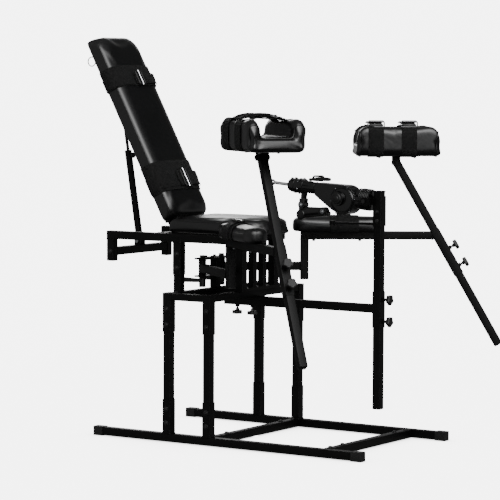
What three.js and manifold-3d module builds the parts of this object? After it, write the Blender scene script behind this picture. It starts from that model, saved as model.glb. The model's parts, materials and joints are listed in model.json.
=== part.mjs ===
// A reclining padded chair on a welded stand, with two swing-out leg rests and a telescoping front mast
// that carries a reciprocating drive. Millimetres, +Z up. The sitter faces +X, so the sitter's right is -Y.
// The origin is on the floor, at the middle of the whole chair as seen from above.
import * as THREE from "three";
import { mergeVertices } from "three/addons/utils/BufferGeometryUtils.js";
import Module from "manifold-3d";

const wasm = await Module();
wasm.setup();

// ---------------------------------------------------------------- driving dimensions
const TUBE = 30; // square tube of every frame
const TUBE_WALL = 2;
const SLEEVE = 34; // square tube that a TUBE slides in
const SLEEVE_BORE = 31;
const CORNER = 2.5; // outside corner radius of the square tubes
const GAP = 0.3; // between neighbours that rest on each other

const RAIL = { length: 1130, y: 295, z: 2 };
const FOOT_CAP = { size: 34, length: 40, wall: 1.7 };
const SOCKET_TOP = 155; // top of the sockets that stand on the rails
const STUB = { size: 25, length: 130 }; // spigot inside each end of a crossbar
const BASE_CROSSBAR_X = { mid: -70, front: 414 };

const STAND = { rearX: -241.5, frontX: -70, top: 535, barHeight: 25, sleeveBottom: 396 };
const BEAM_SLEEVE = { rearX: -192, frontX: 100, z: 494 };
const BEAM_KNOB_X = { rear: -144, front: -79 };

const SEAT_FRAME = { rearX: -597, frontX: -61, y: 173, z: 723 };
const SEAT_POST = { x: -283, socketBottom: 590 };
const FRONT_SUPPORT = { x: -58, postY: 105, uprightY: 32, upright: 24, foot: 12 };
const STRUT_CROSSBAR = { x: -582, z: 662, stubBottom: 630 };

const HINGE = { x: -374, z: 748, y: 70, pinRadius: 5 };
const RECLINE_DEG = 61.7; // back's angle above the horizontal
const BACK = { width: 254, from: 24, to: 779, boardBack: -1, board: 12, cushion: 53 };
const SEAT = { rearX: -361, frontX: 35, width: 275, boardBottom: 738.3, board: 12, cushion: 50, nose: 100 };

const STRUT_FOOT = { x: -582, z: 692 };
const STRUT_EYE = { x: -673, z: 1253 }; // where the strut meets the back's bracket
const STRUT = { tube: 20, bore: 16, tubeLength: 340, rodRadius: 6, rodStart: 225 };

const PIVOT = { x: -257, y: 62, boltRadius: 6, bushRadius: 14, bottom: 582, top: 640, plate: 6 };
const LEG = {
  swing: { right: 36.6, left: 35.7 }, // degrees out from straight ahead
  arm: 306,
  armZ: 608,
  uprightBottom: 562,
  thigh: 491,
  thighZ: 721.5,
  lean: 29.7, // calf post, degrees back from upright
  sleeveAbove: 20,
  sleeveBelow: 164,
  knobs: { upper: -62, lower: -136 },
};
const CALF_POST = { above: 336, below: 448, raised: { right: 30, left: -15 } };
const THIGH_PAD = { start: 262, length: 330, width: 86, height: 55 };
const CRADLE = { length: 300, width: 200, height: 104, wall: 38, lift: 20, pivotBelowEnd: 8 };

const MAST = { x: 450, bottom: 142, top: 904, sleeveBottom: 428, sleeveTop: 555 };
const MAST_KNOB_Z = { upper: 527, lower: 450 };
const BEAM_REAR_X = -180;

const DRIVE = { x: 410, z: 872, pitch: 5, pin: -14 }; // tilt hinge, nose-up degrees, hinge pin in its own frame
const BRACKET = { bottom: 785, top: 890, size: 36, earY: 40.5, ear: 4, armX: 258 };
const ROD = { radius: 6, z: 18.4, tipX: -451, wristX: -180.4 };
const CASE = { x: -106, z: -7, radius: 52, halfWidth: 26, wall: 6 };
const CRANK = { pinRadius: 20, radius: 38 };
const ELBOW = { x: -285, z: -46 };
const RELEASE = { x: -262, z: 47 };

const rad = THREE.MathUtils.degToRad;
const sideSign = { right: -1, left: 1 };

// ---------------------------------------------------------------- materials
function material(color, roughness, metalness) {
  return new THREE.MeshStandardMaterial({ color, roughness, metalness });
}
const powderCoat = material(0x1b1b1a, 0.45, 0.3);
const blackPlastic = material(0x141414, 0.55, 0.0);
const leather = material(0x1d1d1e, 0.35, 0.0);
const plywood = material(0x3a3028, 0.8, 0.0);
const castBlack = material(0x121213, 0.3, 0.4);
const polishedSteel = material(0xd8d8da, 0.15, 1.0);
const zincSteel = material(0x8d8f92, 0.35, 0.9);

// ---------------------------------------------------------------- solids
// A closed three.js geometry as a manifold solid.
function solid(geometry) {
  const bare = geometry.index ? geometry.toNonIndexed() : geometry.clone();
  bare.deleteAttribute("normal");
  bare.deleteAttribute("uv");
  const merged = mergeVertices(bare, 1e-4);
  return new wasm.Manifold(
    new wasm.Mesh({
      numProp: 3,
      vertProperties: merged.attributes.position.array,
      triVerts: new Uint32Array(merged.index.array),
    }),
  );
}

function named(name, body, finish) {
  const raw = body.getMesh();
  const geometry = new THREE.BufferGeometry()
    .setAttribute("position", new THREE.BufferAttribute(new Float32Array(raw.vertProperties), 3))
    .setIndex(new THREE.BufferAttribute(new Uint32Array(raw.triVerts), 1));
  geometry.computeVertexNormals();
  const mesh = new THREE.Mesh(geometry, finish);
  mesh.name = name;
  return mesh;
}

const join = (...bodies) => bodies.flat().reduce((sum, body) => sum.add(body));
const weld = (outers, bores) => join(outers).subtract(join(bores));

// The corners at +X may have their own radius.
function roundedRectangle(width, height, radius, front = radius) {
  const x = width / 2;
  const y = height / 2;
  const shape = new THREE.Shape();
  shape.moveTo(-x + radius, -y);
  shape.lineTo(x - front, -y);
  shape.absarc(x - front, -y + front, front, -Math.PI / 2, 0);
  shape.lineTo(x, y - front);
  shape.absarc(x - front, y - front, front, 0, Math.PI / 2);
  shape.lineTo(-x + radius, y);
  shape.absarc(-x + radius, y - radius, radius, Math.PI / 2, Math.PI);
  shape.lineTo(-x, -y + radius);
  shape.absarc(-x + radius, -y + radius, radius, Math.PI, Math.PI * 1.5);
  return shape;
}

// A straight bar between two points. Its width lies level and its height lies in the bar's upright plane.
// An upright bar has its width along Y and its height along X.
function bar(from, to, width, height, radius = CORNER) {
  const start = new THREE.Vector3(...from);
  const along = new THREE.Vector3(...to).sub(start);
  const shape = radius > 0 ? roundedRectangle(width, height, radius) : squareShape(width, height);
  const geometry = new THREE.ExtrudeGeometry(shape, {
    depth: along.length(),
    bevelEnabled: false,
    curveSegments: 2,
  });
  const z = along.clone().normalize();
  const upright = Math.abs(z.z) > 0.999;
  const across = upright ? new THREE.Vector3(0, 1, 0) : new THREE.Vector3(0, 0, 1).cross(z).normalize();
  const up = z.clone().cross(across);
  geometry.applyMatrix4(new THREE.Matrix4().makeBasis(across, up, z).setPosition(start));
  return solid(geometry);
}

function squareShape(width, height) {
  return new THREE.Shape([
    new THREE.Vector2(-width / 2, -height / 2),
    new THREE.Vector2(width / 2, -height / 2),
    new THREE.Vector2(width / 2, height / 2),
    new THREE.Vector2(-width / 2, height / 2),
  ]);
}

const bore = (from, to, width, height = width) => bar(from, to, width, height, 0);

function box(from, to) {
  const size = to.map((value, axis) => value - from[axis]);
  const geometry = new THREE.BoxGeometry(...size);
  geometry.translate(...from.map((value, axis) => value + size[axis] / 2));
  return solid(geometry);
}

// A round bar between two points, with its own radius at each end.
function rod(from, to, radius, endRadius = radius, segments = 20) {
  const start = new THREE.Vector3(...from);
  const along = new THREE.Vector3(...to).sub(start);
  const geometry = new THREE.CylinderGeometry(endRadius, radius, along.length(), segments);
  const turn = new THREE.Quaternion().setFromUnitVectors(
    new THREE.Vector3(0, 1, 0),
    along.clone().normalize(),
  );
  geometry.applyQuaternion(turn);
  geometry.translate(...start.addScaledVector(along, 0.5));
  return solid(geometry);
}

// A body of revolution about the X axis, from [x, radius] pairs that start and end on the axis.
function turned(profile, segments = 28) {
  const geometry = new THREE.LatheGeometry(
    profile.map(([x, radius]) => new THREE.Vector2(radius, x)),
    segments,
  );
  geometry.rotateZ(-Math.PI / 2);
  return solid(geometry);
}

// A padded slab: a rounded rectangle in plan whose top and bottom edges are eased.
function pad(length, width, height, planRadius, edge, frontRadius = planRadius) {
  const shape = roundedRectangle(length - 2 * edge, width - 2 * edge, planRadius - edge, frontRadius - edge);
  const geometry = new THREE.ExtrudeGeometry(shape, {
    depth: height - 2 * edge,
    bevelThickness: edge,
    bevelSize: edge,
    bevelSegments: 2,
    curveSegments: 5,
  });
  geometry.translate(0, 0, edge);
  return solid(geometry);
}

function group(position, rotation, ...children) {
  const made = new THREE.Group();
  made.position.set(...position);
  made.rotation.set(...rotation);
  made.add(...children);
  return made;
}

// ---------------------------------------------------------------- locking knobs
const SCREW = { radius: 4, hole: 4.6 };
const NUT = { radius: 8, height: 7 };
const KNOB = { radius: 19, lobes: 5, lobe: 0.13, thickness: 13, neck: 8, neckRadius: 9 };

// A five-lobed knob on a screw. Z = 0 is the face of the sleeve, and the head points up.
function knobBody(reach) {
  const outline = new THREE.Shape();
  const steps = KNOB.lobes * 5;
  for (let i = 0; i < steps; i++) {
    const angle = (i / steps) * 2 * Math.PI;
    const r = (KNOB.radius - 2) * (1 + KNOB.lobe * Math.cos(KNOB.lobes * angle)) / (1 + KNOB.lobe);
    const [x, y] = [r * Math.cos(angle), r * Math.sin(angle)];
    if (i === 0) outline.moveTo(x, y);
    else outline.lineTo(x, y);
  }
  const head = new THREE.ExtrudeGeometry(outline, {
    depth: KNOB.thickness - 4,
    bevelThickness: 2,
    bevelSize: 2,
    bevelSegments: 1,
  });
  const neckStart = NUT.height + 6;
  head.translate(0, 0, neckStart + KNOB.neck + 2);
  return join(
    solid(head),
    rod([0, 0, neckStart], [0, 0, neckStart + KNOB.neck + 4], KNOB.neckRadius - 3, KNOB.neckRadius, 14),
    rod([0, 0, -reach], [0, 0, neckStart + 2], SCREW.radius, SCREW.radius, 12),
  );
}

// The weld nut and its hole in a sleeve wall: a point on the wall's face, and the outward direction.
function weldNut(point, outward) {
  const out = new THREE.Vector3(...outward);
  const at = (distance) => new THREE.Vector3(...point).addScaledVector(out, distance).toArray();
  return {
    nut: rod(at(-0.5), at(NUT.height), NUT.radius, NUT.radius, 6),
    hole: rod(at(-5), at(NUT.height + 1), SCREW.hole, SCREW.hole, 12),
  };
}

const SCREW_REACH = 1.2; // how far a lock screw's tip stands inside the face of its sleeve
const knob = (name) => named(name, knobBody(SCREW_REACH), blackPlastic);

// ---------------------------------------------------------------- stand
const railCentreZ = RAIL.z + TUBE / 2;
const stations = { rear: STAND.rearX, front: STAND.frontX };
const topBarZ = STAND.top - STAND.barHeight / 2;

function baseRail(side) {
  const y = sideSign[side] * RAIL.y;
  const end = RAIL.length / 2 - FOOT_CAP.wall - GAP;
  const inner = y - sideSign[side] * (TUBE / 2 - 1);
  const stubEnd = y - sideSign[side] * (TUBE / 2 + STUB.length);
  const outers = [bar([-end, y, railCentreZ], [end, y, railCentreZ], TUBE, TUBE)];
  const bores = [bore([-end - 1, y, railCentreZ], [end + 1, y, railCentreZ], TUBE - 2 * TUBE_WALL)];
  for (const x of Object.values(stations)) {
    outers.push(bar([x, y, RAIL.z + TUBE - 1], [x, y, SOCKET_TOP], SLEEVE, SLEEVE));
    bores.push(bore([x, y, RAIL.z + TUBE + 2], [x, y, SOCKET_TOP + 1], SLEEVE_BORE));
  }
  for (const x of Object.values(BASE_CROSSBAR_X)) {
    outers.push(bar([x, inner, railCentreZ], [x, stubEnd, railCentreZ], STUB.size, STUB.size));
  }
  return named(`base_rail_${side}`, weld(outers, bores), powderCoat);
}

function footCap(side, end) {
  const sign = end === "rear" ? -1 : 1;
  const y = sideSign[side] * RAIL.y;
  const outside = (sign * RAIL.length) / 2;
  const inside = outside - sign * FOOT_CAP.length;
  const pocketEnd = outside - sign * FOOT_CAP.wall;
  const body = weld(
    [bar([inside, y, FOOT_CAP.size / 2], [outside, y, FOOT_CAP.size / 2], FOOT_CAP.size, FOOT_CAP.size, 3)],
    [bore([inside - sign, y, railCentreZ], [pocketEnd, y, railCentreZ], TUBE + 2 * GAP)],
  );
  return named(`foot_cap_${side}_${end}`, body, blackPlastic);
}

function baseCrossbar(place) {
  const x = BASE_CROSSBAR_X[place];
  const end = RAIL.y - SLEEVE / 2 - GAP;
  const body = weld(
    [bar([x, -end, railCentreZ], [x, end, railCentreZ], TUBE, TUBE)],
    [bore([x, -end - 1, railCentreZ], [x, end + 1, railCentreZ], STUB.size + 1)],
  );
  return named(`base_crossbar_${place}`, body, powderCoat);
}

function standPost(side, place) {
  const [x, y] = [stations[place], sideSign[side] * RAIL.y];
  const body = weld(
    [bar([x, y, RAIL.z + TUBE + 2 + GAP], [x, y, STAND.top - 4 - GAP], TUBE, TUBE)],
    [bore([x, y, 0], [x, y, STAND.top], TUBE - 2 * TUBE_WALL)],
  );
  return named(`stand_post_${side}_${place}`, body, powderCoat);
}

function standTopFrame() {
  const outers = [];
  const bores = [];
  for (const x of Object.values(stations)) {
    outers.push(bar([x, -RAIL.y, topBarZ], [x, RAIL.y, topBarZ], TUBE, STAND.barHeight));
    for (const sign of [-1, 1]) {
      const y = sign * RAIL.y;
      outers.push(bar([x, y, STAND.sleeveBottom], [x, y, STAND.top + 1], SLEEVE, SLEEVE));
      bores.push(bore([x, y, STAND.sleeveBottom - 1], [x, y, STAND.top - 4], SLEEVE_BORE));
    }
  }
  for (const y of [-RAIL.y, 0, RAIL.y]) {
    outers.push(bar([STAND.rearX, y, topBarZ], [STAND.frontX, y, topBarZ], TUBE, STAND.barHeight));
  }
  const { rearX, frontX, z } = BEAM_SLEEVE;
  outers.push(bar([rearX, 0, z], [frontX, 0, z], SLEEVE, SLEEVE));
  bores.push(bore([rearX - 1, 0, z], [frontX + 1, 0, z], SLEEVE_BORE));
  for (const x of Object.values(BEAM_KNOB_X)) {
    const { nut, hole } = weldNut([x, 0, z - SLEEVE / 2], [0, 0, -1]);
    outers.push(nut);
    bores.push(hole);
  }
  for (const sign of [-1, 1]) {
    const spacer = [SEAT_POST.x + TUBE / 2 + GAP, sign * SEAT_FRAME.y - 15, STAND.top - STAND.barHeight];
    outers.push(box(spacer, [STAND.rearX, sign * SEAT_FRAME.y + 15, STAND.top - 1]));
  }
  return named("stand_top_frame", weld(outers, bores), powderCoat);
}

function seatPost(name, x, y, from, to) {
  const body = weld(
    [bar([x, y, from], [x, y, to], TUBE, TUBE)],
    [bore([x, y, from - 1], [x, y, to + 1], TUBE - 2 * TUBE_WALL)],
  );
  return named(name, body, powderCoat);
}

// The four uprights under the front of the seat, on one flat foot.
function frontSupport() {
  const { x, postY, uprightY, upright, foot } = FRONT_SUPPORT;
  const bottom = STAND.top + GAP;
  const top = SEAT_FRAME.z - TUBE / 2 - GAP;
  const outers = [box([x - 17, -postY - 20, bottom], [x + 17, postY + 20, bottom + foot])];
  const bores = [];
  for (const [y, size] of [[postY, TUBE], [uprightY, upright]]) {
    for (const sign of [-1, 1]) {
      outers.push(bar([x, sign * y, bottom + 1], [x, sign * y, top], size, size));
      bores.push(bore([x, sign * y, bottom + foot], [x, sign * y, top + 1], size - 2 * TUBE_WALL));
    }
  }
  outers.push(bar([x, -postY, top - 22], [x, postY, top - 22], 20, 16, 1.5));
  return named("front_support", weld(outers, bores), powderCoat);
}

function pivotBracket() {
  const plates = [
    [PIVOT.bottom - PIVOT.plate, PIVOT.bottom],
    [PIVOT.top, PIVOT.top + PIVOT.plate],
  ].map(([low, high]) =>
    bar([-251, -PIVOT.y - 22, (low + high) / 2], [-251, PIVOT.y + 22, (low + high) / 2], 52, PIVOT.plate, 1.5),
  );
  const post = bar([STAND.rearX, 0, STAND.top + GAP], [STAND.rearX, 0, PIVOT.top + 1], TUBE, TUBE);
  const holes = [-1, 1].map((sign) =>
    rod([PIVOT.x, sign * PIVOT.y, 560], [PIVOT.x, sign * PIVOT.y, 660], PIVOT.boltRadius + 0.5),
  );
  return named("pivot_bracket", weld([...plates, post], holes), powderCoat);
}

function seatFrame() {
  const { rearX, frontX, y, z } = SEAT_FRAME;
  const inside = TUBE - 2 * TUBE_WALL;
  const outers = [];
  const bores = [];
  const { x: strutX, z: strutZ, stubBottom } = STRUT_CROSSBAR;
  for (const sign of [-1, 1]) {
    outers.push(bar([rearX, sign * y, z], [frontX, sign * y, z], TUBE, TUBE));
    bores.push(bore([rearX + 3, sign * y, z], [frontX + 1, sign * y, z], inside));
    outers.push(bar([strutX, sign * y, stubBottom], [strutX, sign * y, z], TUBE, TUBE));
    bores.push(bore([strutX, sign * y, stubBottom - 1], [strutX, sign * y, z], inside));
    outers.push(bar([SEAT_POST.x, sign * y, SEAT_POST.socketBottom], [SEAT_POST.x, sign * y, z], SLEEVE, SLEEVE));
    bores.push(bore([SEAT_POST.x, sign * y, SEAT_POST.socketBottom - 1], [SEAT_POST.x, sign * y, z], SLEEVE_BORE));
  }
  for (const [x, height] of [[strutX, strutZ], [HINGE.x, z], [frontX - TUBE / 2, z]]) {
    outers.push(bar([x, -y, height], [x, y, height], TUBE, TUBE));
    bores.push(bore([x, -y, height], [x, y, height], inside));
  }
  for (const sign of [-1, 1]) {
    for (const offset of [-5.5, 5.5]) outers.push(hingeEar(sign * HINGE.y + offset));
    outers.push(box([strutX - 12, sign * 15 - 3, strutZ + 12], [strutX + 12, sign * 15 + 3, STRUT_FOOT.z + 12]));
  }
  bores.push(rod([HINGE.x, -100, HINGE.z], [HINGE.x, 100, HINGE.z], HINGE.pinRadius + 0.4));
  bores.push(rod([STRUT_FOOT.x, -30, STRUT_FOOT.z], [STRUT_FOOT.x, 30, STRUT_FOOT.z], HINGE.pinRadius + 0.4));
  return named("seat_frame", weld(outers, bores), powderCoat);
}

function hingeEar(y) {
  const thickness = 3;
  const low = box(
    [HINGE.x - 11, y - thickness / 2, SEAT_FRAME.z + 12],
    [HINGE.x + 11, y + thickness / 2, HINGE.z],
  );
  return join(low, rod([HINGE.x, y - thickness / 2, HINGE.z], [HINGE.x, y + thickness / 2, HINGE.z], 11));
}

// A pin with a head at each end, along Y.
function pin(name, x, z, halfLength, radius) {
  const body = join(
    rod([x, -halfLength, z], [x, halfLength, z], radius),
    rod([x, -halfLength - 3, z], [x, -halfLength, z], radius + 3),
    rod([x, halfLength, z], [x, halfLength + 3, z], radius + 3),
  );
  return named(name, body, zincSteel);
}

// ---------------------------------------------------------------- upholstery of the seat and back
function slab(name, corner, size, finish) {
  return named(name, box(corner, corner.map((value, axis) => value + size[axis])), finish);
}

// Its rear end is cut away below the foot of the reclined back.
function seatCushion() {
  const length = SEAT.frontX - SEAT.rearX;
  const middleX = (SEAT.frontX + SEAT.rearX) / 2;
  const bottom = SEAT.boardBottom + SEAT.board + GAP;
  const slope = rad(90 - RECLINE_DEG);
  const relief = new THREE.BoxGeometry(160, SEAT.width + 20, 60);
  relief.translate(0, 0, 30);
  relief.rotateY(-slope);
  relief.translate(HINGE.x - middleX, 0, HINGE.z - bottom + (BACK.from - 2) / Math.cos(slope));
  const body = pad(length, SEAT.width, SEAT.cushion, 46, 18, SEAT.nose).subtract(solid(relief));
  const mesh = named("seat_cushion", body, leather);
  mesh.position.set(middleX, 0, bottom);
  return mesh;
}

function seatBoard() {
  const inset = 12;
  const shape = roundedRectangle(
    SEAT.frontX - SEAT.rearX - inset,
    SEAT.width - 2 * inset,
    34,
    SEAT.nose - inset,
  );
  const geometry = new THREE.ExtrudeGeometry(shape, { depth: SEAT.board, bevelEnabled: false, curveSegments: 6 });
  const mesh = named("seat_board", solid(geometry), plywood);
  mesh.position.set((SEAT.frontX + SEAT.rearX) / 2, 0, SEAT.boardBottom);
  return mesh;
}

// The back's own frame: origin on the hinge axis, +Z up the back, +X towards the sitter.
function backrest() {
  const boardFront = BACK.boardBack + BACK.board;
  const length = BACK.to - BACK.from;
  const board = slab(
    "back_board",
    [BACK.boardBack, -BACK.width / 2 + 12, BACK.from + 10],
    [BACK.board, BACK.width - 24, length - 20],
    plywood,
  );
  const cushion = named("back_cushion", pad(length, BACK.width, BACK.cushion, 46, 18), leather);
  cushion.rotation.y = Math.PI / 2;
  cushion.position.set(boardFront + GAP, 0, (BACK.to + BACK.from) / 2);
  return group([HINGE.x, 0, HINGE.z], [0, -rad(90 - RECLINE_DEG), 0], backFrame(), board, cushion, backRing());
}

const eyeInBack = new THREE.Vector3(STRUT_EYE.x - HINGE.x, 0, STRUT_EYE.z - HINGE.z).applyAxisAngle(
  new THREE.Vector3(0, 1, 0),
  rad(90 - RECLINE_DEG),
);

function backFrame() {
  const size = 20;
  const front = BACK.boardBack - GAP;
  const depth = front - size / 2;
  const outers = [];
  for (const sign of [-1, 1]) {
    const y = sign * HINGE.y;
    outers.push(bar([depth, y, 33], [depth, y, 700], size, size, 2));
    outers.push(box([-7, y - 3.4, -2], [8, y + 3.4, 22]));
    outers.push(box([depth - 4, y - 3.4, 18], [front, y + 3.4, 62]));
    outers.push(rod([0, y - 3.4, 0], [0, y + 3.4, 0], 9));
    outers.push(box([eyeInBack.x - 13, sign * 10 - 2, eyeInBack.z - 14], [front, sign * 10 + 2, eyeInBack.z + 14]));
  }
  for (const z of [120, eyeInBack.z, 690]) {
    outers.push(box([front - 4, -HINGE.y, z - 20], [front, HINGE.y, z + 20]));
  }
  const bores = [rod([0, -90, 0], [0, 90, 0], HINGE.pinRadius + 0.4)];
  for (const sign of [-1, 1]) {
    bores.push(bore([depth, sign * HINGE.y, 64], [depth, sign * HINGE.y, 701], size - 2 * TUBE_WALL));
  }
  return named("back_frame", weld(outers, bores), powderCoat);
}

function backRing() {
  const face = BACK.boardBack - GAP;
  const tab = box([face - 3, -114, 688], [face, -98, 716]);
  const ring = new THREE.TorusGeometry(17, 2, 8, 24);
  ring.rotateX(Math.PI / 2);
  ring.translate(face - 20, -106, 702);
  return named("back_ring", join(tab, solid(ring)), zincSteel);
}

// The strut's own frame: origin on its foot pin, +Z along the strut.
function strut() {
  const along = new THREE.Vector2(STRUT_EYE.x - STRUT_FOOT.x, STRUT_EYE.z - STRUT_FOOT.z);
  const { tube, bore: inside, tubeLength, rodRadius, rodStart } = STRUT;
  const tubeBody = weld(
    [bar([0, 0, -10], [0, 0, tubeLength], tube, tube, 2), weldNutOnStrut().nut],
    [
      bore([0, 0, 22], [0, 0, tubeLength - 8], inside),
      rod([0, 0, tubeLength - 12], [0, 0, tubeLength + 1], rodRadius + 0.5),
      rod([0, -20, 0], [0, 20, 0], HINGE.pinRadius + 0.4),
      weldNutOnStrut().hole,
    ],
  );
  const rodBody = weld(
    [
      rod([0, 0, rodStart], [0, 0, along.length()], rodRadius),
      rod([0, -6, along.length()], [0, 6, along.length()], 10),
    ],
    [rod([0, -8, along.length()], [0, 8, along.length()], 4)],
  );
  const knobMesh = named("strut_knob", strutKnobBody(), blackPlastic);
  knobMesh.position.set(tube / 2, 0, STRUT_KNOB_AT);
  knobMesh.rotation.y = Math.PI / 2;
  return group(
    [STRUT_FOOT.x, 0, STRUT_FOOT.z],
    [0, Math.atan2(along.x, along.y), 0],
    named("strut_tube", tubeBody, powderCoat),
    named("strut_rod", rodBody, castBlack),
    knobMesh,
  );
}

const STRUT_KNOB_AT = 318;

function weldNutOnStrut() {
  const face = STRUT.tube / 2;
  return {
    nut: rod([face - 1, 0, STRUT_KNOB_AT], [face + 4, 0, STRUT_KNOB_AT], 6, 6, 6),
    hole: rod([face - 3, 0, STRUT_KNOB_AT], [face + 5, 0, STRUT_KNOB_AT], 3.4, 3.4, 12),
  };
}

function strutKnobBody() {
  return join(
    rod([0, 0, -1.5], [0, 0, 8], 2.8, 2.8, 12),
    rod([0, 0, 6], [0, 0, 12], 10, 11, 12),
  );
}

// ---------------------------------------------------------------- leg rests
// A leg's own frame: origin on the floor below its pivot, +X out along the leg.
const leanAngle = rad(LEG.lean);
const postUp = [-Math.sin(leanAngle), 0, Math.cos(leanAngle)];
const postOut = [Math.cos(leanAngle), 0, Math.sin(leanAngle)];
const onPost = (along, out = 0) => [
  LEG.arm + LEG.thigh + postUp[0] * along + postOut[0] * out,
  0,
  LEG.thighZ + postUp[2] * along + postOut[2] * out,
];

function legFrame(side) {
  const tubeTo = LEG.arm + LEG.thigh;
  const knobNuts = Object.values(LEG.knobs).map((along) => weldNut(onPost(along, SLEEVE / 2), postOut));
  const outers = [
    rod([0, 0, PIVOT.bottom + GAP], [0, 0, PIVOT.top - GAP], PIVOT.bushRadius),
    bar([8, 0, LEG.armZ], [LEG.arm, 0, LEG.armZ], TUBE, TUBE),
    bar([LEG.arm, 0, LEG.uprightBottom], [LEG.arm, 0, LEG.thighZ + 14], TUBE, TUBE),
    bar([LEG.arm - 15, 0, LEG.thighZ], [tubeTo, 0, LEG.thighZ], TUBE, TUBE),
    bar(onPost(-LEG.sleeveBelow), onPost(LEG.sleeveAbove), SLEEVE, SLEEVE),
    ...knobNuts.map(({ nut }) => nut),
  ];
  const inside = TUBE - 2 * TUBE_WALL;
  const bores = [
    rod([0, 0, 500], [0, 0, 700], PIVOT.boltRadius + 0.5),
    bore([LEG.arm, 0, LEG.uprightBottom - 1], [LEG.arm, 0, LEG.thighZ], inside),
    bore([30, 0, LEG.armZ], [LEG.arm, 0, LEG.armZ], inside),
    bore([LEG.arm, 0, LEG.thighZ], [tubeTo, 0, LEG.thighZ], inside),
    bore(onPost(-LEG.sleeveBelow - 1), onPost(LEG.sleeveAbove + 12), SLEEVE_BORE),
    ...knobNuts.map(({ hole }) => hole),
  ];
  return named(`leg_frame_${side}`, weld(outers, bores), powderCoat);
}

function calfPost(side) {
  const raised = CALF_POST.raised[side];
  const from = raised - CALF_POST.below;
  const to = raised + CALF_POST.above;
  const pivot = to - CRADLE.pivotBelowEnd;
  const [x, , z] = onPost(pivot);
  const body = weld(
    [bar(onPost(from), onPost(to), TUBE, TUBE)],
    [
      bore(onPost(from - 1), onPost(to + 1), TUBE - 2 * TUBE_WALL),
      rod([x, -20, z], [x, 20, z], 4.5),
    ],
  );
  return named(`calf_post_${side}`, body, powderCoat);
}

// The cradle's own frame: origin on its tilt pin, level with the floor.
function cradle(side) {
  const [x, , z] = onPost(CALF_POST.raised[side] + CALF_POST.above - CRADLE.pivotBelowEnd);
  const bracket = join(
    bar([-80, 0, CRADLE.lift + 2], [80, 0, CRADLE.lift + 2], 90, 4, 1.5),
    box([-14, 15.6, -12], [14, 19.6, CRADLE.lift + 2]),
    box([-14, -19.6, -12], [14, -15.6, CRADLE.lift + 2]),
    rod([0, -25, 0], [0, 25, 0], 4, 4, 14),
    rod([0, 19, 0], [0, 26, 0], 8, 8, 6),
    rod([0, -26, 0], [0, -19, 0], 8, 8, 6),
  );
  const padMesh = named(`calf_cradle_${side}`, cradlePad(), leather);
  padMesh.position.z = CRADLE.lift + 4 + GAP;
  return group([x, 0, z], [0, 0, 0], named(`cradle_bracket_${side}`, bracket, powderCoat), padMesh);
}

function cradlePad() {
  const { length, width, height, wall } = CRADLE;
  const across = new THREE.ExtrudeGeometry(cradleSection(width, height, wall), {
    depth: length,
    bevelEnabled: false,
    curveSegments: 6,
  });
  across.applyMatrix4(
    new THREE.Matrix4().makeBasis(
      new THREE.Vector3(0, 1, 0),
      new THREE.Vector3(0, 0, 1),
      new THREE.Vector3(1, 0, 0),
    ),
  );
  across.translate(-length / 2, 0, 0);
  const side = new THREE.ExtrudeGeometry(cradleSide(length, height), {
    depth: width + 2,
    bevelEnabled: false,
    curveSegments: 6,
  });
  side.rotateX(Math.PI / 2);
  side.translate(0, width / 2 + 1, 0);
  return solid(across).intersect(solid(side));
}

// The U of the cradle, across the leg.
function cradleSection(width, height, wall) {
  const shape = new THREE.Shape();
  const outer = width / 2;
  const inner = outer - wall;
  const crown = wall / 2;
  const foot = 14;
  const hollow = 22;
  shape.moveTo(-outer + foot, 0);
  shape.lineTo(outer - foot, 0);
  shape.absarc(outer - foot, foot, foot, -Math.PI / 2, 0);
  shape.lineTo(outer, height - crown);
  shape.absarc(outer - crown, height - crown, crown, 0, Math.PI);
  shape.lineTo(inner, wall + hollow);
  shape.absarc(inner - hollow, wall + hollow, hollow, 0, -Math.PI / 2, true);
  shape.lineTo(-inner + hollow, wall);
  shape.absarc(-inner + hollow, wall + hollow, hollow, -Math.PI / 2, -Math.PI, true);
  shape.lineTo(-inner, height - crown);
  shape.absarc(-outer + crown, height - crown, crown, 0, Math.PI);
  shape.lineTo(-outer, foot);
  shape.absarc(-outer + foot, foot, foot, Math.PI, Math.PI * 1.5);
  return shape;
}

// The cradle seen from the side: its top corners are well rounded.
function cradleSide(length, height) {
  const shape = new THREE.Shape();
  const x = length / 2;
  const [top, foot] = [45, 14];
  shape.moveTo(-x + foot, 0);
  shape.lineTo(x - foot, 0);
  shape.absarc(x - foot, foot, foot, -Math.PI / 2, 0);
  shape.lineTo(x, height - top);
  shape.absarc(x - top, height - top, top, 0, Math.PI / 2);
  shape.lineTo(-x + top, height);
  shape.absarc(-x + top, height - top, top, Math.PI / 2, Math.PI);
  shape.lineTo(-x, foot);
  shape.absarc(-x + foot, foot, foot, Math.PI, Math.PI * 1.5);
  return shape;
}

function thighPad(side) {
  const { start, length, width, height } = THIGH_PAD;
  const mesh = named(`thigh_pad_${side}`, pad(length, width, height, 38, 20), leather);
  mesh.position.set(start + length / 2, 0, LEG.thighZ + TUBE / 2 + GAP);
  return mesh;
}

function legKnob(side, place) {
  const mesh = knob(`leg_knob_${side}_${place}`);
  mesh.position.set(...onPost(LEG.knobs[place], SLEEVE / 2));
  mesh.rotation.y = Math.PI / 2 - leanAngle;
  return mesh;
}

function legRest(side) {
  const sign = sideSign[side];
  return group(
    [PIVOT.x, sign * PIVOT.y, 0],
    [0, 0, sign * rad(LEG.swing[side])],
    legFrame(side),
    thighPad(side),
    legKnob(side, "upper"),
    legKnob(side, "lower"),
    calfPost(side),
    cradle(side),
  );
}

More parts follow.
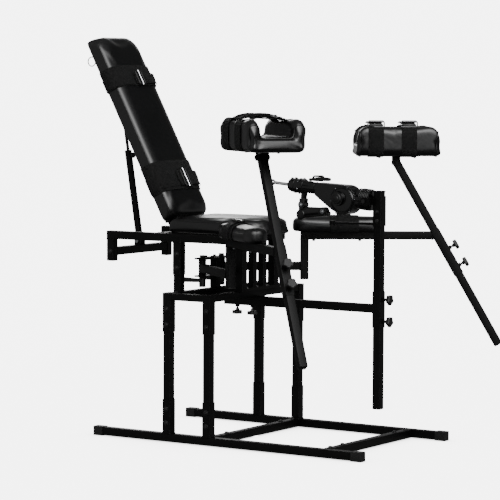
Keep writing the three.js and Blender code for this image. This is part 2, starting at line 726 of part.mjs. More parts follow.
// The pivot bolt with its clamping lever, which points to the rear.
function clampLever(side) {
  const hubTop = PIVOT.bottom - PIVOT.plate - GAP;
  const body = join(
    rod([0, 0, hubTop - 2], [0, 0, PIVOT.top + PIVOT.plate + 2], PIVOT.boltRadius),
    rod([0, 0, PIVOT.top + PIVOT.plate + GAP], [0, 0, PIVOT.top + PIVOT.plate + 9], 10, 10, 6),
    rod([0, 0, 539], [0, 0, hubTop], 12, 13),
    rod([0, 0, 562], [-82, 0, 562], 6.5, 9.5, 14),
  );
  const mesh = named(`clamp_lever_${side}`, body, blackPlastic);
  mesh.position.set(PIVOT.x, sideSign[side] * PIVOT.y, 0);
  return mesh;
}

// ---------------------------------------------------------------- beam and mast
function slideBeam() {
  const sleeveFace = MAST.x - SLEEVE / 2;
  const nuts = Object.values(MAST_KNOB_Z).map((z) => weldNut([MAST.x + SLEEVE / 2, 0, z], [1, 0, 0]));
  const outers = [
    bar([BEAM_REAR_X, 0, BEAM_SLEEVE.z], [sleeveFace + 1, 0, BEAM_SLEEVE.z], TUBE, TUBE),
    bar([MAST.x, 0, MAST.sleeveBottom], [MAST.x, 0, MAST.sleeveTop], SLEEVE, SLEEVE),
    ...nuts.map(({ nut }) => nut),
  ];
  const bores = [
    bore([BEAM_REAR_X - 1, 0, BEAM_SLEEVE.z], [sleeveFace, 0, BEAM_SLEEVE.z], TUBE - 2 * TUBE_WALL),
    bore([MAST.x, 0, MAST.sleeveBottom - 1], [MAST.x, 0, MAST.sleeveTop + 1], SLEEVE_BORE),
    ...nuts.map(({ hole }) => hole),
  ];
  return named("slide_beam", weld(outers, bores), powderCoat);
}

function mast() {
  const body = weld(
    [bar([MAST.x, 0, MAST.bottom], [MAST.x, 0, MAST.top], TUBE, TUBE)],
    [bore([MAST.x, 0, MAST.bottom - 1], [MAST.x, 0, MAST.top - 3], TUBE - 2 * TUBE_WALL)],
  );
  return named("mast", body, powderCoat);
}

// The collar that carries the drive: two ears for its hinge, and an arm that reaches forward under it.
function mastBracket() {
  const { bottom, top, size, earY, ear, armX } = BRACKET;
  const face = MAST.x - size / 2;
  const outers = [bar([MAST.x, 0, bottom], [MAST.x, 0, top], size, size, 4)];
  outers.push(box([face - 3, -earY - ear / 2, DRIVE.z - 13], [face + 2, earY + ear / 2, DRIVE.z + 13]));
  for (const y of [-earY, earY]) {
    outers.push(box([DRIVE.x, y - ear / 2, DRIVE.z - 13], [face, y + ear / 2, DRIVE.z + 13]));
    outers.push(rod([DRIVE.x, y - ear / 2, DRIVE.z], [DRIVE.x, y + ear / 2, DRIVE.z], 13));
  }
  outers.push(bar([face + 2, 0, bottom + 7], [armX, 0, bottom + 4], 18, 8, 2));
  outers.push(rod([armX, 0, bottom - 4], [armX, 0, bottom + 12], 11, 11, 18));
  const bores = [
    bore([MAST.x, 0, bottom - 1], [MAST.x, 0, top + 1], TUBE + 2 * GAP),
    rod([DRIVE.x, -60, DRIVE.z], [DRIVE.x, -30, DRIVE.z], 4.5),
    rod([DRIVE.x, 30, DRIVE.z], [DRIVE.x, 60, DRIVE.z], 4.5),
  ];
  return named("mast_bracket", weld(outers, bores), powderCoat);
}

function beamKnob(place) {
  const mesh = knob(`beam_knob_${place}`);
  mesh.position.set(BEAM_KNOB_X[place], 0, BEAM_SLEEVE.z - SLEEVE / 2);
  mesh.rotation.x = Math.PI;
  return mesh;
}

function mastKnob(place) {
  const mesh = knob(`mast_knob_${place}`);
  mesh.position.set(MAST.x + SLEEVE / 2, 0, MAST_KNOB_Z[place]);
  mesh.rotation.y = Math.PI / 2;
  return mesh;
}

// ---------------------------------------------------------------- reciprocating drive
// The drive's own frame: origin just behind its tilt pin, the thrust rod pointing to -X.
function driveHousing() {
  const { x, z, radius, halfWidth, wall } = CASE;
  const nose = turned([
    [-352, 0],
    [-352, 11],
    [-347, 18],
    [-336, 24],
    [-318, 26],
    [-282, 26],
    [-272, 21.5],
    [-140, 21.5],
    [-140, 0],
  ]);
  const disc = rod([x, -halfWidth, z], [x, halfWidth, z], radius, radius, 40);
  const boss = rod([ELBOW.x, 0, ROD.z - 18], [ELBOW.x, 0, ELBOW.z + 17.5], 12.5, 11, 16);
  const releaseLug = box([RELEASE.x - 6, -5, ROD.z + 20], [RELEASE.x + 6, 5, RELEASE.z - 6]);
  const knuckles = [-1, 1].map((sign) =>
    join(
      box([ELBOW.x - 9, sign * 13 - 3, ELBOW.z], [ELBOW.x + 9, sign * 13 + 3, ELBOW.z + 22]),
      rod([ELBOW.x, sign * 13 - 3, ELBOW.z], [ELBOW.x, sign * 13 + 3, ELBOW.z], 13, 13, 18),
    ),
  );
  const yoke = box([ELBOW.x - 9, -14, ELBOW.z + 17], [ELBOW.x + 9, 14, ELBOW.z + 22]);
  const elbowPin = rod([ELBOW.x, -18, ELBOW.z], [ELBOW.x, 18, ELBOW.z], 3.5, 3.5, 12);
  const outers = [nose.translate([0, 0, ROD.z]), disc, web(26, 0), boss, releaseLug, ...knuckles, yoke, elbowPin];
  const floor = halfWidth - wall;
  const bores = [
    rod([-360, 0, ROD.z], [-300, 0, ROD.z], ROD.radius + 0.4),
    rod([-305, 0, ROD.z], [-130, 0, ROD.z], 15),
    rod([x, -halfWidth - 1, z], [x, floor, z], radius - wall, radius - wall, 40),
    web(20, wall).intersect(box([-230, -floor, -80], [-60, floor, 60])),
  ];
  return named("drive_housing", weld(outers, bores), castBlack);
}

// The web between the barrel and the round case, drawn in by an inset.
function web(halfWidth, inset) {
  const { x, z, radius } = CASE;
  const shape = new THREE.Shape();
  const barrel = 21.5 - inset;
  shape.moveTo(-226 + inset, ROD.z + barrel);
  shape.lineTo(x, z + radius - inset);
  shape.lineTo(x - 12, z - radius + inset);
  shape.lineTo(x - 46 + inset / 2, z - 40 + inset);
  shape.lineTo(-226 + inset, ROD.z - barrel);
  const geometry = new THREE.ExtrudeGeometry(shape, { depth: 2 * halfWidth, bevelEnabled: false });
  geometry.rotateX(Math.PI / 2);
  geometry.translate(0, halfWidth, 0);
  return solid(geometry);
}

function housingCover() {
  const { x, z, radius, halfWidth } = CASE;
  const face = -halfWidth - GAP;
  const body = join(
    rod([x, face - 5, z], [x, face, z], radius, radius, 40),
    rod([x, face - 11, z], [x, face - 4, z], 40, 46, 32),
    rod([x - 14, face - 24, z + 4], [x - 14, face - 10, z + 4], 24, 27, 24),
  );
  return named("housing_cover", body, castBlack);
}

function driveMotor() {
  const rear = DRIVE.pin + 12;
  const front = CASE.x + CASE.radius + 1;
  const body = join(
    rod([front, 0, 3], [rear, 0, 3], 37, 37, 32),
    rod([DRIVE.pin, -44, 0], [DRIVE.pin, 44, 0], 4, 4, 14),
    rod([DRIVE.pin, 43, 0], [DRIVE.pin, 47, 0], 8, 8, 6),
    rod([DRIVE.pin, -47, 0], [DRIVE.pin, -43, 0], 8, 8, 6),
    rod([front - 8, 0, 3], [front + 3, 0, 3], 17, 17, 20),
  );
  const clear = rod([CASE.x, -60, CASE.z], [CASE.x, 60, CASE.z], CASE.radius + GAP, CASE.radius + GAP, 40);
  return named("drive_motor", body.subtract(clear), castBlack);
}

function crankDisc() {
  const { x, z, halfWidth, wall } = CASE;
  const back = halfWidth - wall - 0.6;
  const body = join(
    rod([x, back - 12, z], [x, back, z], 12),
    rod([x, 5.6, z], [x, back - 9, z], CRANK.radius, CRANK.radius, 32),
  );
  return named("crank_disc", body, zincSteel);
}

function thrustRod() {
  const { radius, z, tipX, wristX } = ROD;
  const body = join(
    rod([tipX + 14, 0, z], [wristX - 8, 0, z], radius),
    rod([tipX, 0, z], [tipX + 15, 0, z], 4, 4, 14),
    rod([tipX + 12, 0, z], [tipX + 34, 0, z], 11, 11, 6),
    rod([wristX - 22, 0, z], [wristX - 8, 0, z], 10),
    box([wristX - 9, 0.4, z - 8], [wristX + 8, 5, z + 8]),
  );
  return named("thrust_rod", body, polishedSteel);
}

function connectingRod() {
  const pinX = CASE.x - CRANK.pinRadius;
  const [front, back] = [-8, -0.2];
  const body = join(
    rod([ROD.wristX, front, ROD.z], [ROD.wristX, back, ROD.z], 8),
    rod([pinX, front, CASE.z], [pinX, 5.2, CASE.z], 8),
    bar([ROD.wristX, (front + back) / 2, ROD.z], [pinX, (front + back) / 2, CASE.z], 7, 10, 1),
  );
  return named("connecting_rod", body, zincSteel);
}

function supportLink() {
  const end = [ELBOW.x + 88, 0, ELBOW.z - 14];
  const outers = [
    rod([ELBOW.x, -9.4, ELBOW.z], [ELBOW.x, 9.4, ELBOW.z], 14, 14, 20),
    bar([ELBOW.x + 2, 0, ELBOW.z - 6], [ELBOW.x + 2, 0, ELBOW.z - 36], 18, 30, 4),
    bar([ELBOW.x - 12, 0, ELBOW.z - 22], end, 19, 28, 5),
    rod([end[0], -14, end[2]], [end[0], 14, end[2]], 16, 16, 20),
    rod([end[0] + 10, 0, end[2] - 4], [end[0] + 24, 0, end[2] - 7], 11, 9, 16),
  ];
  const bores = [rod([ELBOW.x, -20, ELBOW.z], [ELBOW.x, 20, ELBOW.z], 3.9, 3.9, 12)];
  return named("support_link", weld(outers, bores), castBlack);
}

function releaseLever() {
  const outline = new THREE.Shape();
  outline.moveTo(0, -5);
  outline.lineTo(20, -3);
  outline.quadraticCurveTo(50, 0, 74, 2);
  outline.absarc(74, 8, 6, -Math.PI / 2, Math.PI / 2);
  outline.quadraticCurveTo(40, 16, 8, 6);
  outline.absarc(0, 0, 5, Math.PI / 2, Math.PI * 1.5);
  const geometry = new THREE.ExtrudeGeometry(outline, { depth: 14, bevelEnabled: false, curveSegments: 6 });
  geometry.rotateX(Math.PI / 2);
  geometry.translate(0, 7, 0);
  const mesh = named("release_lever", solid(geometry), blackPlastic);
  mesh.position.set(RELEASE.x, 0, RELEASE.z);
  return mesh;
}

function drive() {
  const pieces = [
    driveHousing(),
    housingCover(),
    driveMotor(),
    crankDisc(),
    thrustRod(),
    connectingRod(),
    supportLink(),
    releaseLever(),
  ];
  const unpitched = group([-DRIVE.pin, 0, 0], [0, 0, 0], ...pieces);
  return group([DRIVE.x, 0, DRIVE.z], [0, rad(DRIVE.pitch), 0], unpitched);
}

// ---------------------------------------------------------------- the whole chair
const chair = new THREE.Group();
for (const side of ["right", "left"]) {
  chair.add(baseRail(side), footCap(side, "rear"), footCap(side, "front"));
  chair.add(standPost(side, "rear"), standPost(side, "front"));
  const y = sideSign[side] * SEAT_FRAME.y;
  chair.add(seatPost(`seat_post_${side}`, SEAT_POST.x, y, 505, SEAT_FRAME.z - TUBE / 2 - 6));
  chair.add(legRest(side), clampLever(side));
}
chair.add(baseCrossbar("mid"), baseCrossbar("front"), standTopFrame(), pivotBracket(), seatFrame());
chair.add(frontSupport());
chair.add(pin("hinge_pin", HINGE.x, HINGE.z, 80, HINGE.pinRadius));
chair.add(pin("strut_pin", STRUT_FOOT.x, STRUT_FOOT.z, 19, HINGE.pinRadius));
chair.add(seatBoard(), seatCushion(), backrest(), strut());
chair.add(slideBeam(), beamKnob("rear"), beamKnob("front"));
chair.add(mast(), mastKnob("upper"), mastKnob("lower"), mastBracket(), drive());

const middle = new THREE.Box3().setFromObject(chair, true).getCenter(new THREE.Vector3());
chair.position.set(-middle.x, -middle.y, 0);

export default chair;
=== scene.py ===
# Looks for the reclining padded chair: materials for the CAD nodes, and the upholstery, straps and small
# hardware as new pieces. Metres, +Z up, the sitter facing +X, so the sitter's right is -Y.
import json
import math

import bmesh
import bpy
from mathutils import Matrix, Vector
from mathutils.bvhtree import BVHTree


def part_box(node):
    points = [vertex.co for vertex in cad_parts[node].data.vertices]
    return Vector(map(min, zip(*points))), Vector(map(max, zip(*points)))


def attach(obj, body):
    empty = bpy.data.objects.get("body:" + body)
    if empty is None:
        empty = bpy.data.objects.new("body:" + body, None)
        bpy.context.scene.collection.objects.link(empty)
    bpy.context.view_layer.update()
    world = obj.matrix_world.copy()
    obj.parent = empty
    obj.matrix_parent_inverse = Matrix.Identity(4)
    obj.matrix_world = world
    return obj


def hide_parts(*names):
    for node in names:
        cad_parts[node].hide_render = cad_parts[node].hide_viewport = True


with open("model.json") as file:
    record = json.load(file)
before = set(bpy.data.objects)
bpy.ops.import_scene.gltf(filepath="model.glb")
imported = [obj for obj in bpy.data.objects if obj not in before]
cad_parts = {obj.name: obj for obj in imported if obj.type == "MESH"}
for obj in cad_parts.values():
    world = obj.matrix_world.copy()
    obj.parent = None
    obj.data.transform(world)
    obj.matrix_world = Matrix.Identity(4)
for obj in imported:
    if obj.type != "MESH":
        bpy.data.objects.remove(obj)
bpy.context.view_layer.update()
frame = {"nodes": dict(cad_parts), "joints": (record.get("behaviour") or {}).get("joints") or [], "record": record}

scene = bpy.context.scene
joints = {joint["name"]: joint for joint in frame["joints"]}
SIDES = ("right", "left")
X, Y, Z = Vector((1, 0, 0)), Vector((0, 1, 0)), Vector((0, 0, 1))


# ---------------------------------------------------------------- local frames
def pivot(joint):
    return Vector(joints[joint]["pos_m"])


def turned(degrees, axis):
    return Matrix.Rotation(math.radians(degrees), 4, axis)


ORIGIN = pivot("back_recline") - Vector((-0.374, 0, 0.748))
STAND = Matrix.Translation(ORIGIN)
BACK = Matrix.Translation(pivot("back_recline")) @ turned(-28.3, "Y")
DRIVE = Matrix.Translation(pivot("drive_tilt")) @ turned(5, "Y") @ Matrix.Translation((0.014, 0, 0))
LEG, CRADLE = {}, {}
for side in SIDES:
    slide = joints[f"calf_post_{side}_slide"]["axis"]
    heading = Matrix.Rotation(math.atan2(-slide[1], -slide[0]), 4, "Z")
    foot = pivot(f"leg_{side}_swing")
    LEG[side] = Matrix.Translation((foot.x, foot.y, 0)) @ heading
    CRADLE[side] = Matrix.Translation(pivot(f"cradle_{side}_tilt")) @ heading


# ---------------------------------------------------------------- materials
def node(tree, kind, inputs=None, **settings):
    made = tree.nodes.new(kind)
    for key, value in settings.items():
        setattr(made, key, value)
    for key, value in (inputs or {}).items():
        if isinstance(value, bpy.types.NodeSocket):
            tree.links.new(value, made.inputs[key])
        else:
            made.inputs[key].default_value = value
    return made


def blank(name):
    made = bpy.data.materials.new(name)
    made.use_nodes = True
    made.node_tree.nodes.clear()
    return made, made.node_tree


def finish(tree, **inputs):
    shader = node(tree, "ShaderNodeBsdfPrincipled", {k.replace("_", " "): v for k, v in inputs.items()})
    node(tree, "ShaderNodeOutputMaterial", {"Surface": shader.outputs[0]})
    return shader


def scaled(tree, value, low, high):
    """A 0 to 1 value mapped to low to high."""
    return node(
        tree, "ShaderNodeMapRange", {"Value": value, "To Min": low, "To Max": high}
    ).outputs["Result"]


def noise(tree, scale, detail=3.0, vector=None, distortion=0.0):
    place = vector or node(tree, "ShaderNodeTexCoord").outputs["Object"]
    return node(
        tree,
        "ShaderNodeTexNoise",
        {"Vector": place, "Scale": scale, "Detail": detail, "Distortion": distortion},
    ).outputs["Fac"]


def bump(tree, height, distance, normal=None, strength=1.0):
    made = node(tree, "ShaderNodeBump", {"Height": height, "Distance": distance, "Strength": strength})
    if normal is not None:
        tree.links.new(normal, made.inputs["Normal"])
    return made.outputs["Normal"]


def socket(made, name):
    return [s for s in made.inputs if s.name == name and s.enabled][0]


def colour_mix(tree, factor, dark, light):
    made = tree.nodes.new("ShaderNodeMix")
    made.data_type = "RGBA"
    for name, value in (("Factor", factor), ("A", dark), ("B", light)):
        target = socket(made, name)
        if isinstance(value, bpy.types.NodeSocket):
            tree.links.new(value, target)
        else:
            target.default_value = (*value, 1) if isinstance(value, tuple) else value
    return [s for s in made.outputs if s.enabled][0]


def edge_mask(tree, rounded):
    """Near 1 on the edges of a solid, 0 on its faces."""
    face = node(tree, "ShaderNodeNewGeometry").outputs["Normal"]
    match = node(tree, "ShaderNodeVectorMath", {0: rounded, 1: face}, operation="DOT_PRODUCT").outputs["Value"]
    made = node(
        tree,
        "ShaderNodeMapRange",
        {"Value": match, "From Min": 0.999, "From Max": 0.85, "To Min": 0.0, "To Max": 1.0},
    )
    return made.outputs["Result"]


def coated_metal(name, dark, light, roughness, peel, radius, metallic=0.0, coat=0.0):
    """Painted steel or a painted casting: orange peel, uneven gloss, and edges polished by wear."""
    made, tree = blank(name)
    rounded = node(tree, "ShaderNodeBevel", {"Radius": radius}, samples=4).outputs["Normal"]
    edges = edge_mask(tree, rounded)
    patches = noise(tree, 14.0, 4.0)
    worn = node(
        tree, "ShaderNodeMath", {0: edges, 1: scaled(tree, noise(tree, 45.0, 5.0), -0.5, 1.6)}, operation="MULTIPLY"
    )
    worn.use_clamp = True
    normal = bump(tree, noise(tree, peel, 2.0), 0.00012, rounded, 0.6)
    finish(
        tree,
        Base_Color=colour_mix(tree, worn.outputs[0], dark, light),
        Metallic=metallic,
        Roughness=scaled(tree, patches, roughness - 0.09, roughness + 0.09),
        Coat_Weight=coat,
        Coat_Roughness=0.12,
        Specular_IOR_Level=0.46 - 0.7 * roughness,
        Normal=normal,
    )
    return made


def moulded_plastic(name):
    made, tree = blank(name)
    rounded = node(tree, "ShaderNodeBevel", {"Radius": 0.0008}, samples=4).outputs["Normal"]
    place = node(tree, "ShaderNodeTexCoord").outputs["Object"]
    grain = node(tree, "ShaderNodeTexVoronoi", {"Vector": place, "Scale": 1400.0}).outputs["Distance"]
    patches = noise(tree, 30.0)
    finish(
        tree,
        Base_Color=colour_mix(tree, patches, (0.002, 0.002, 0.002), (0.006, 0.006, 0.006)),
        Roughness=scaled(tree, patches, 0.42, 0.6),
        Specular_IOR_Level=0.4,
        Normal=bump(tree, grain, 0.00006, rounded, 0.5),
    )
    return made


def vinyl(name, folds):
    """Soft black upholstery vinyl: pebbled grain, faint creases and an uneven sheen."""
    made, tree = blank(name)
    place = node(tree, "ShaderNodeTexCoord").outputs["Object"]
    grain = node(tree, "ShaderNodeTexVoronoi", {"Vector": place, "Scale": 620.0}, feature="SMOOTH_F1").outputs["Distance"]
    creases = node(
        tree, "ShaderNodeTexNoise", {"Vector": place, "Scale": 17.0, "Detail": 3.0, "Distortion": 0.8}
    ).outputs["Fac"]
    soft = bump(tree, creases, folds, None, 1.0)
    normal = bump(tree, grain, 0.00012, soft, 0.45)
    patches = noise(tree, 8.0, 4.0)
    finish(
        tree,
        Base_Color=colour_mix(tree, patches, (0.0025, 0.0025, 0.0028), (0.006, 0.006, 0.0063)),
        Roughness=scaled(tree, patches, 0.27, 0.41),
        Coat_Weight=0.2,
        Coat_Roughness=0.25,
        Specular_IOR_Level=0.42,
        Normal=normal,
    )
    return made


def webbing(name, dark, light, pitch):
    """Woven strap: UVs are metres across and along the strap."""
    made, tree = blank(name)
    place = node(tree, "ShaderNodeTexCoord").outputs["UV"]
    split = node(tree, "ShaderNodeSeparateXYZ", {"Vector": place})
    across, along = split.outputs["X"], split.outputs["Y"]

    def wave(value, step):
        angle = node(tree, "ShaderNodeMath", {0: value, 1: 2 * math.pi / step}, operation="MULTIPLY").outputs[0]
        return node(tree, "ShaderNodeMath", {0: angle}, operation="SINE").outputs[0]

    weave = node(tree, "ShaderNodeMath", {0: wave(across, pitch), 1: wave(along, pitch)}, operation="MULTIPLY")
    rib = wave(along, pitch * 0.5)
    height = node(tree, "ShaderNodeMath", {0: rib, 1: 0.3, 2: weave.outputs[0]}, operation="MULTIPLY_ADD").outputs[0]
    fuzz = noise(tree, 160.0, 5.0)
    finish(
        tree,
        Base_Color=colour_mix(tree, fuzz, dark, light),
        Roughness=scaled(tree, fuzz, 0.6, 0.85),
        Sheen_Weight=0.02,
        Specular_IOR_Level=0.2,
        Normal=bump(tree, height, 0.00035, None, 0.7),
    )
    return made


def bare_metal(name, colour, roughness, brushed):
    made, tree = blank(name)
    place = node(tree, "ShaderNodeTexCoord").outputs["Object"]
    streaks = node(
        tree, "ShaderNodeMapping", {"Vector": place, "Scale": (1.0, 1.0, brushed)}
    ).outputs["Vector"]
    marks = noise(tree, 260.0, 4.0, streaks)
    rounded = node(tree, "ShaderNodeBevel", {"Radius": 0.0005}, samples=4).outputs["Normal"]
    tone = tuple(c * 0.72 for c in colour)
    finish(
        tree,
        Base_Color=colour_mix(tree, noise(tree, 60.0), tone, colour),
        Metallic=1.0,
        Roughness=scaled(tree, marks, roughness * 0.6, roughness * 1.5),
        Normal=bump(tree, marks, 0.00004, rounded, 0.5),
    )
    return made


def stained_plywood(name):
    made, tree = blank(name)
    place = node(tree, "ShaderNodeTexCoord").outputs["Object"]
    stretched = node(tree, "ShaderNodeMapping", {"Vector": place, "Scale": (3.0, 22.0, 3.0)}).outputs["Vector"]
    grain = noise(tree, 7.0, 8.0, stretched, 1.5)
    finish(
        tree,
        Base_Color=colour_mix(tree, grain, (0.012, 0.009, 0.007), (0.05, 0.036, 0.025)),
        Roughness=scaled(tree, grain, 0.55, 0.8),
        Normal=bump(tree, grain, 0.0003, None, 0.5),
    )
    return made


powder = coated_metal("powder_coat", (0.0022, 0.0022, 0.0022), (0.016, 0.016, 0.016), 0.46, 700.0, 0.0009)
casting = coated_metal("gloss_casting", (0.002, 0.002, 0.0022), (0.03, 0.03, 0.03), 0.26, 210.0, 0.0013, 0.0, 0.4)
plastic = moulded_plastic("moulded_plastic")
skin = vinyl("upholstery_vinyl", 0.0006)
wrinkled = vinyl("wrinkled_vinyl", 0.0016)
strapping = webbing("strap_webbing", (0.0016, 0.0016, 0.0016), (0.0045, 0.0045, 0.0045), 0.0024)
chrome = bare_metal("buckle_chrome", (0.78, 0.78, 0.79), 0.1, 1.0)
nickel = bare_metal("dark_nickel", (0.09, 0.09, 0.092), 0.3, 0.5)
zinc = bare_metal("zinc_plate", (0.3, 0.31, 0.32), 0.32, 0.15)
plywood = stained_plywood("stained_plywood")
BY_SLOT = {
    "black_powder_coat": powder,
    "black_plastic": plastic,
    "vinyl_upholstery": skin,
    "plywood": plywood,
    "gloss_black_casting": casting,
    "polished_steel": chrome,
    "zinc_steel": zinc,
}


def dress(obj, material):
    """Gives a CAD node its material, and smooth faces between its sharp edges."""
    bpy.context.view_layer.objects.active = obj
    bpy.ops.mesh.customdata_custom_splitnormals_clear()
    obj.data.polygons.foreach_set("use_smooth", [True] * len(obj.data.polygons))
    obj.data.materials.clear()
    obj.data.materials.append(material)
    joined = obj.modifiers.new("joined", "WELD")
    joined.merge_threshold = 0.00002
    sharp = obj.modifiers.new("sharp", "EDGE_SPLIT")
    sharp.split_angle = math.radians(32)


for part in frame["record"]["subparts"]:
    dress(frame["nodes"][part["node"]], BY_SLOT[part["material_slot"]])
dress(frame["nodes"]["back_ring"], casting)


# ---------------------------------------------------------------- mesh helpers
def mesh_of(verts, faces):
    mesh = bpy.data.meshes.new("made")
    mesh.from_pydata([tuple(v) for v in verts], [], faces)
    bm = bmesh.new()
    bm.from_mesh(mesh)
    bmesh.ops.recalc_face_normals(bm, faces=bm.faces)
    bm.to_mesh(mesh)
    bm.free()
    return mesh


def merged(meshes):
    bm = bmesh.new()
    for mesh in meshes:
        bm.from_mesh(mesh)
    out = bpy.data.meshes.new("merged")
    bm.to_mesh(out)
    bm.free()
    return out


def piece(name, mesh, material, body, place=None, sharp=True):
    """A new object that rides on a CAD body."""
    if place is not None:
        mesh.transform(place)
    mesh.materials.clear()
    mesh.materials.append(material)
    mesh.polygons.foreach_set("use_smooth", [True] * len(mesh.polygons))
    obj = bpy.data.objects.new(name, mesh)
    scene.collection.objects.link(obj)
    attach(obj, body)
    if sharp:
        split = obj.modifiers.new("sharp", "EDGE_SPLIT")
        split.split_angle = math.radians(38)
    return obj


def loft(rings, caps=True, loop=False):
    """A surface through rings of points. caps closes its ends, loop joins the last ring to the first."""
    n, count = len(rings[0]), len(rings)
    verts = [point for ring in rings for point in ring]
    faces = []
    for i in range(count if loop else count - 1):
        for j in range(n):
            a, b = i * n, ((i + 1) % count) * n
            faces.append((a + j, a + (j + 1) % n, b + (j + 1) % n, b + j))
    if caps and not loop:
        faces.append(tuple(reversed(range(n))))
        faces.append(tuple((count - 1) * n + j for j in range(n)))
    return mesh_of(verts, faces)


def revolved(profile, at, direction, sides=24, lobes=0):
    """A turned solid from (height, radius) pairs along a direction. With lobes set to 6 it is a hexagon."""
    direction = Vector(direction).normalized()
    side = direction.orthogonal().normalized()
    other = direction.cross(side)
    steps = lobes or sides
    rings = []
    for height, radius in profile:
        angles = [2 * math.pi * k / steps for k in range(steps)]
        rings.append(
            [
                Vector(at) + direction * height + (side * math.cos(a) + other * math.sin(a)) * radius
                for a in angles
            ]
        )
    return loft(rings)


def wire(path, radius, up, loop=False, sides=10, ripple=0.0):
    """A round wire along a path; up is square to the path's plane. ripple swells it in beads."""
    count = len(path)
    rings = []
    for i, point in enumerate(path):
        if loop:
            tangent = path[(i + 1) % count] - path[i - 1]
        else:
            tangent = path[min(i + 1, count - 1)] - path[max(i - 1, 0)]
        tangent.normalize()
        lift = (up - tangent * up.dot(tangent)).normalized()
        across = tangent.cross(lift)
        angles = [2 * math.pi * k / sides for k in range(sides)]
        size = radius * (1 + ripple * math.sin(i * 2.1))
        rings.append([point + (lift * math.cos(a) + across * math.sin(a)) * size for a in angles])
    return loft(rings, caps=not loop, loop=loop)


def filleted(corners, radius, step=0.006, loop=False):
    """Evenly spaced points along a polyline whose corners are rounded."""
    points = [Vector(c) for c in corners]
    radii = radius if isinstance(radius, (list, tuple)) else [radius] * len(points)
    rough = []
    count = len(points)
    for i, point in enumerate(points):
        if not loop and i in (0, count - 1):
            rough.append(point)
            continue
        before, after = points[i - 1] - point, points[(i + 1) % count] - point
        angle = before.angle(after)
        cut = min(radii[i] / max(math.tan(angle / 2), 1e-3), before.length * 0.49, after.length * 0.49)
        start, end = point + before.normalized() * cut, point + after.normalized() * cut
        for k in range(9):
            t = k / 8
            rough.append(start * (1 - t) ** 2 + point * 2 * t * (1 - t) + end * t**2)
    if loop:
        rough.append(rough[0])
    length = sum((b - a).length for a, b in zip(rough, rough[1:]))
    wanted = max(int(length / step), 8)
    out, done, i = [], 0.0, 0
    for k in range(wanted + (0 if loop else 1)):
        target = length * k / wanted
        while i < len(rough) - 2 and done + (rough[i + 1] - rough[i]).length < target:
            done += (rough[i + 1] - rough[i]).length
            i += 1
        span = max((rough[i + 1] - rough[i]).length, 1e-9)
        out.append(rough[i].lerp(rough[i + 1], min((target - done) / span, 1.0)))
    return out


def surface_of(obj):
    """The finished surface of an object in the row frame, for laying straps and seams on."""
    graph = bpy.context.evaluated_depsgraph_get()
    shown = obj.evaluated_get(graph)
    mesh = shown.to_mesh()
    world = obj.matrix_world
    verts = [world @ v.co for v in mesh.vertices]
    faces = [tuple(p.vertices) for p in mesh.polygons]
    tree = BVHTree.FromPolygons(verts, faces)
    shown.to_mesh_clear()
    return tree


# ---------------------------------------------------------------- upholstery
def outline(length, width, rear, front, steps=7):
    """A rectangle about the origin whose corners have one radius at -X and another at +X."""
    points = []
    for sx, sy, radius, first in ((1, -1, front, -90), (1, 1, front, 0), (-1, 1, rear, 90), (-1, -1, rear, 180)):
        cx, cy = sx * (length / 2 - radius), sy * (width / 2 - radius)
        for k in range(steps + 1):
            angle = math.radians(first + 90 * k / steps)
            points.append((cx + radius * math.cos(angle), cy + radius * math.sin(angle)))
    return points


def pad_mesh(length, width, thick, rear, front, edge, crown):
    """A padded slab on z = 0. rear and front are the corner radii at its foot and at its top."""
    profile = [(0.0, 0.005), (0.0015, 0.0015), (0.006, 0.0), (thick * 0.5, 0.0)]
    for k in range(7):
        angle = math.radians(15 * k)
        profile.append((thick - edge + edge * math.sin(angle), edge * (1 - math.cos(angle))))
    half = width / 2
    for k in (0.35, 0.65, 0.9):
        profile.append((thick + crown * math.sin(k * math.pi / 2), edge + (half - edge) * k))
    rings = []
    for z, inset in profile:
        part = min(z / thick, 1.0)
        radii = [max(low + (high - low) * part - inset, 0.002) for low, high in (rear, front)]
        shape = outline(length - 2 * inset, width - 2 * inset, *[min(r, half - inset - 0.0005) for r in radii])
        rings.append([Vector((x, y, z)) for x, y in shape])
    return loft(rings)


def cradle_mesh(length, width, height, wall):
    """The trough under a calf, along X, its walls crowned and its ends drawn in."""
    section = filleted(
        [
            (0, -width / 2, 0),
            (0, width / 2, 0),
            (0, width / 2, height),
            (0, width / 2 - wall, height),
            (0, width / 2 - wall, wall),
            (0, -width / 2 + wall, wall),
            (0, -width / 2 + wall, height),
            (0, -width / 2, height),
        ],
        [0.014, 0.014, 0.018, 0.018, 0.02, 0.02, 0.018, 0.018],
        0.006,
        True,
    )
    rings = []
    steps = 26
    for k in range(steps + 1):
        x = -length / 2 + length * k / steps
        near = min(x + length / 2, length / 2 - x)
        top = 0.046
        drop = top - math.sqrt(max(top**2 - max(top - near, 0) ** 2, 0))
        pull = 0.012 - math.sqrt(max(0.012**2 - max(0.012 - near, 0) ** 2, 0))
        ring = []
        for p in section:
            middle = math.copysign(width / 2 - wall / 2, p.y)
            on_wall = abs(p.y) > width / 2 - wall - 0.012 and p.z > wall * 0.7
            y = p.y + (middle - p.y) * min(pull / (wall / 2), 0.55) if on_wall else p.y * (1 - pull / width)
            z = p.z
            if p.z > wall:
                z = wall + (p.z - wall) * (height - wall - drop) / (height - wall)
            z = min(max(z, pull * 0.6), height)
            ring.append(Vector((x, y, z)))
        rings.append(ring)
    return loft(rings)


def applied(obj):
    graph = bpy.context.evaluated_depsgraph_get()
    mesh = bpy.data.meshes.new_from_object(obj.evaluated_get(graph))
    obj.modifiers.clear()
    obj.data = mesh


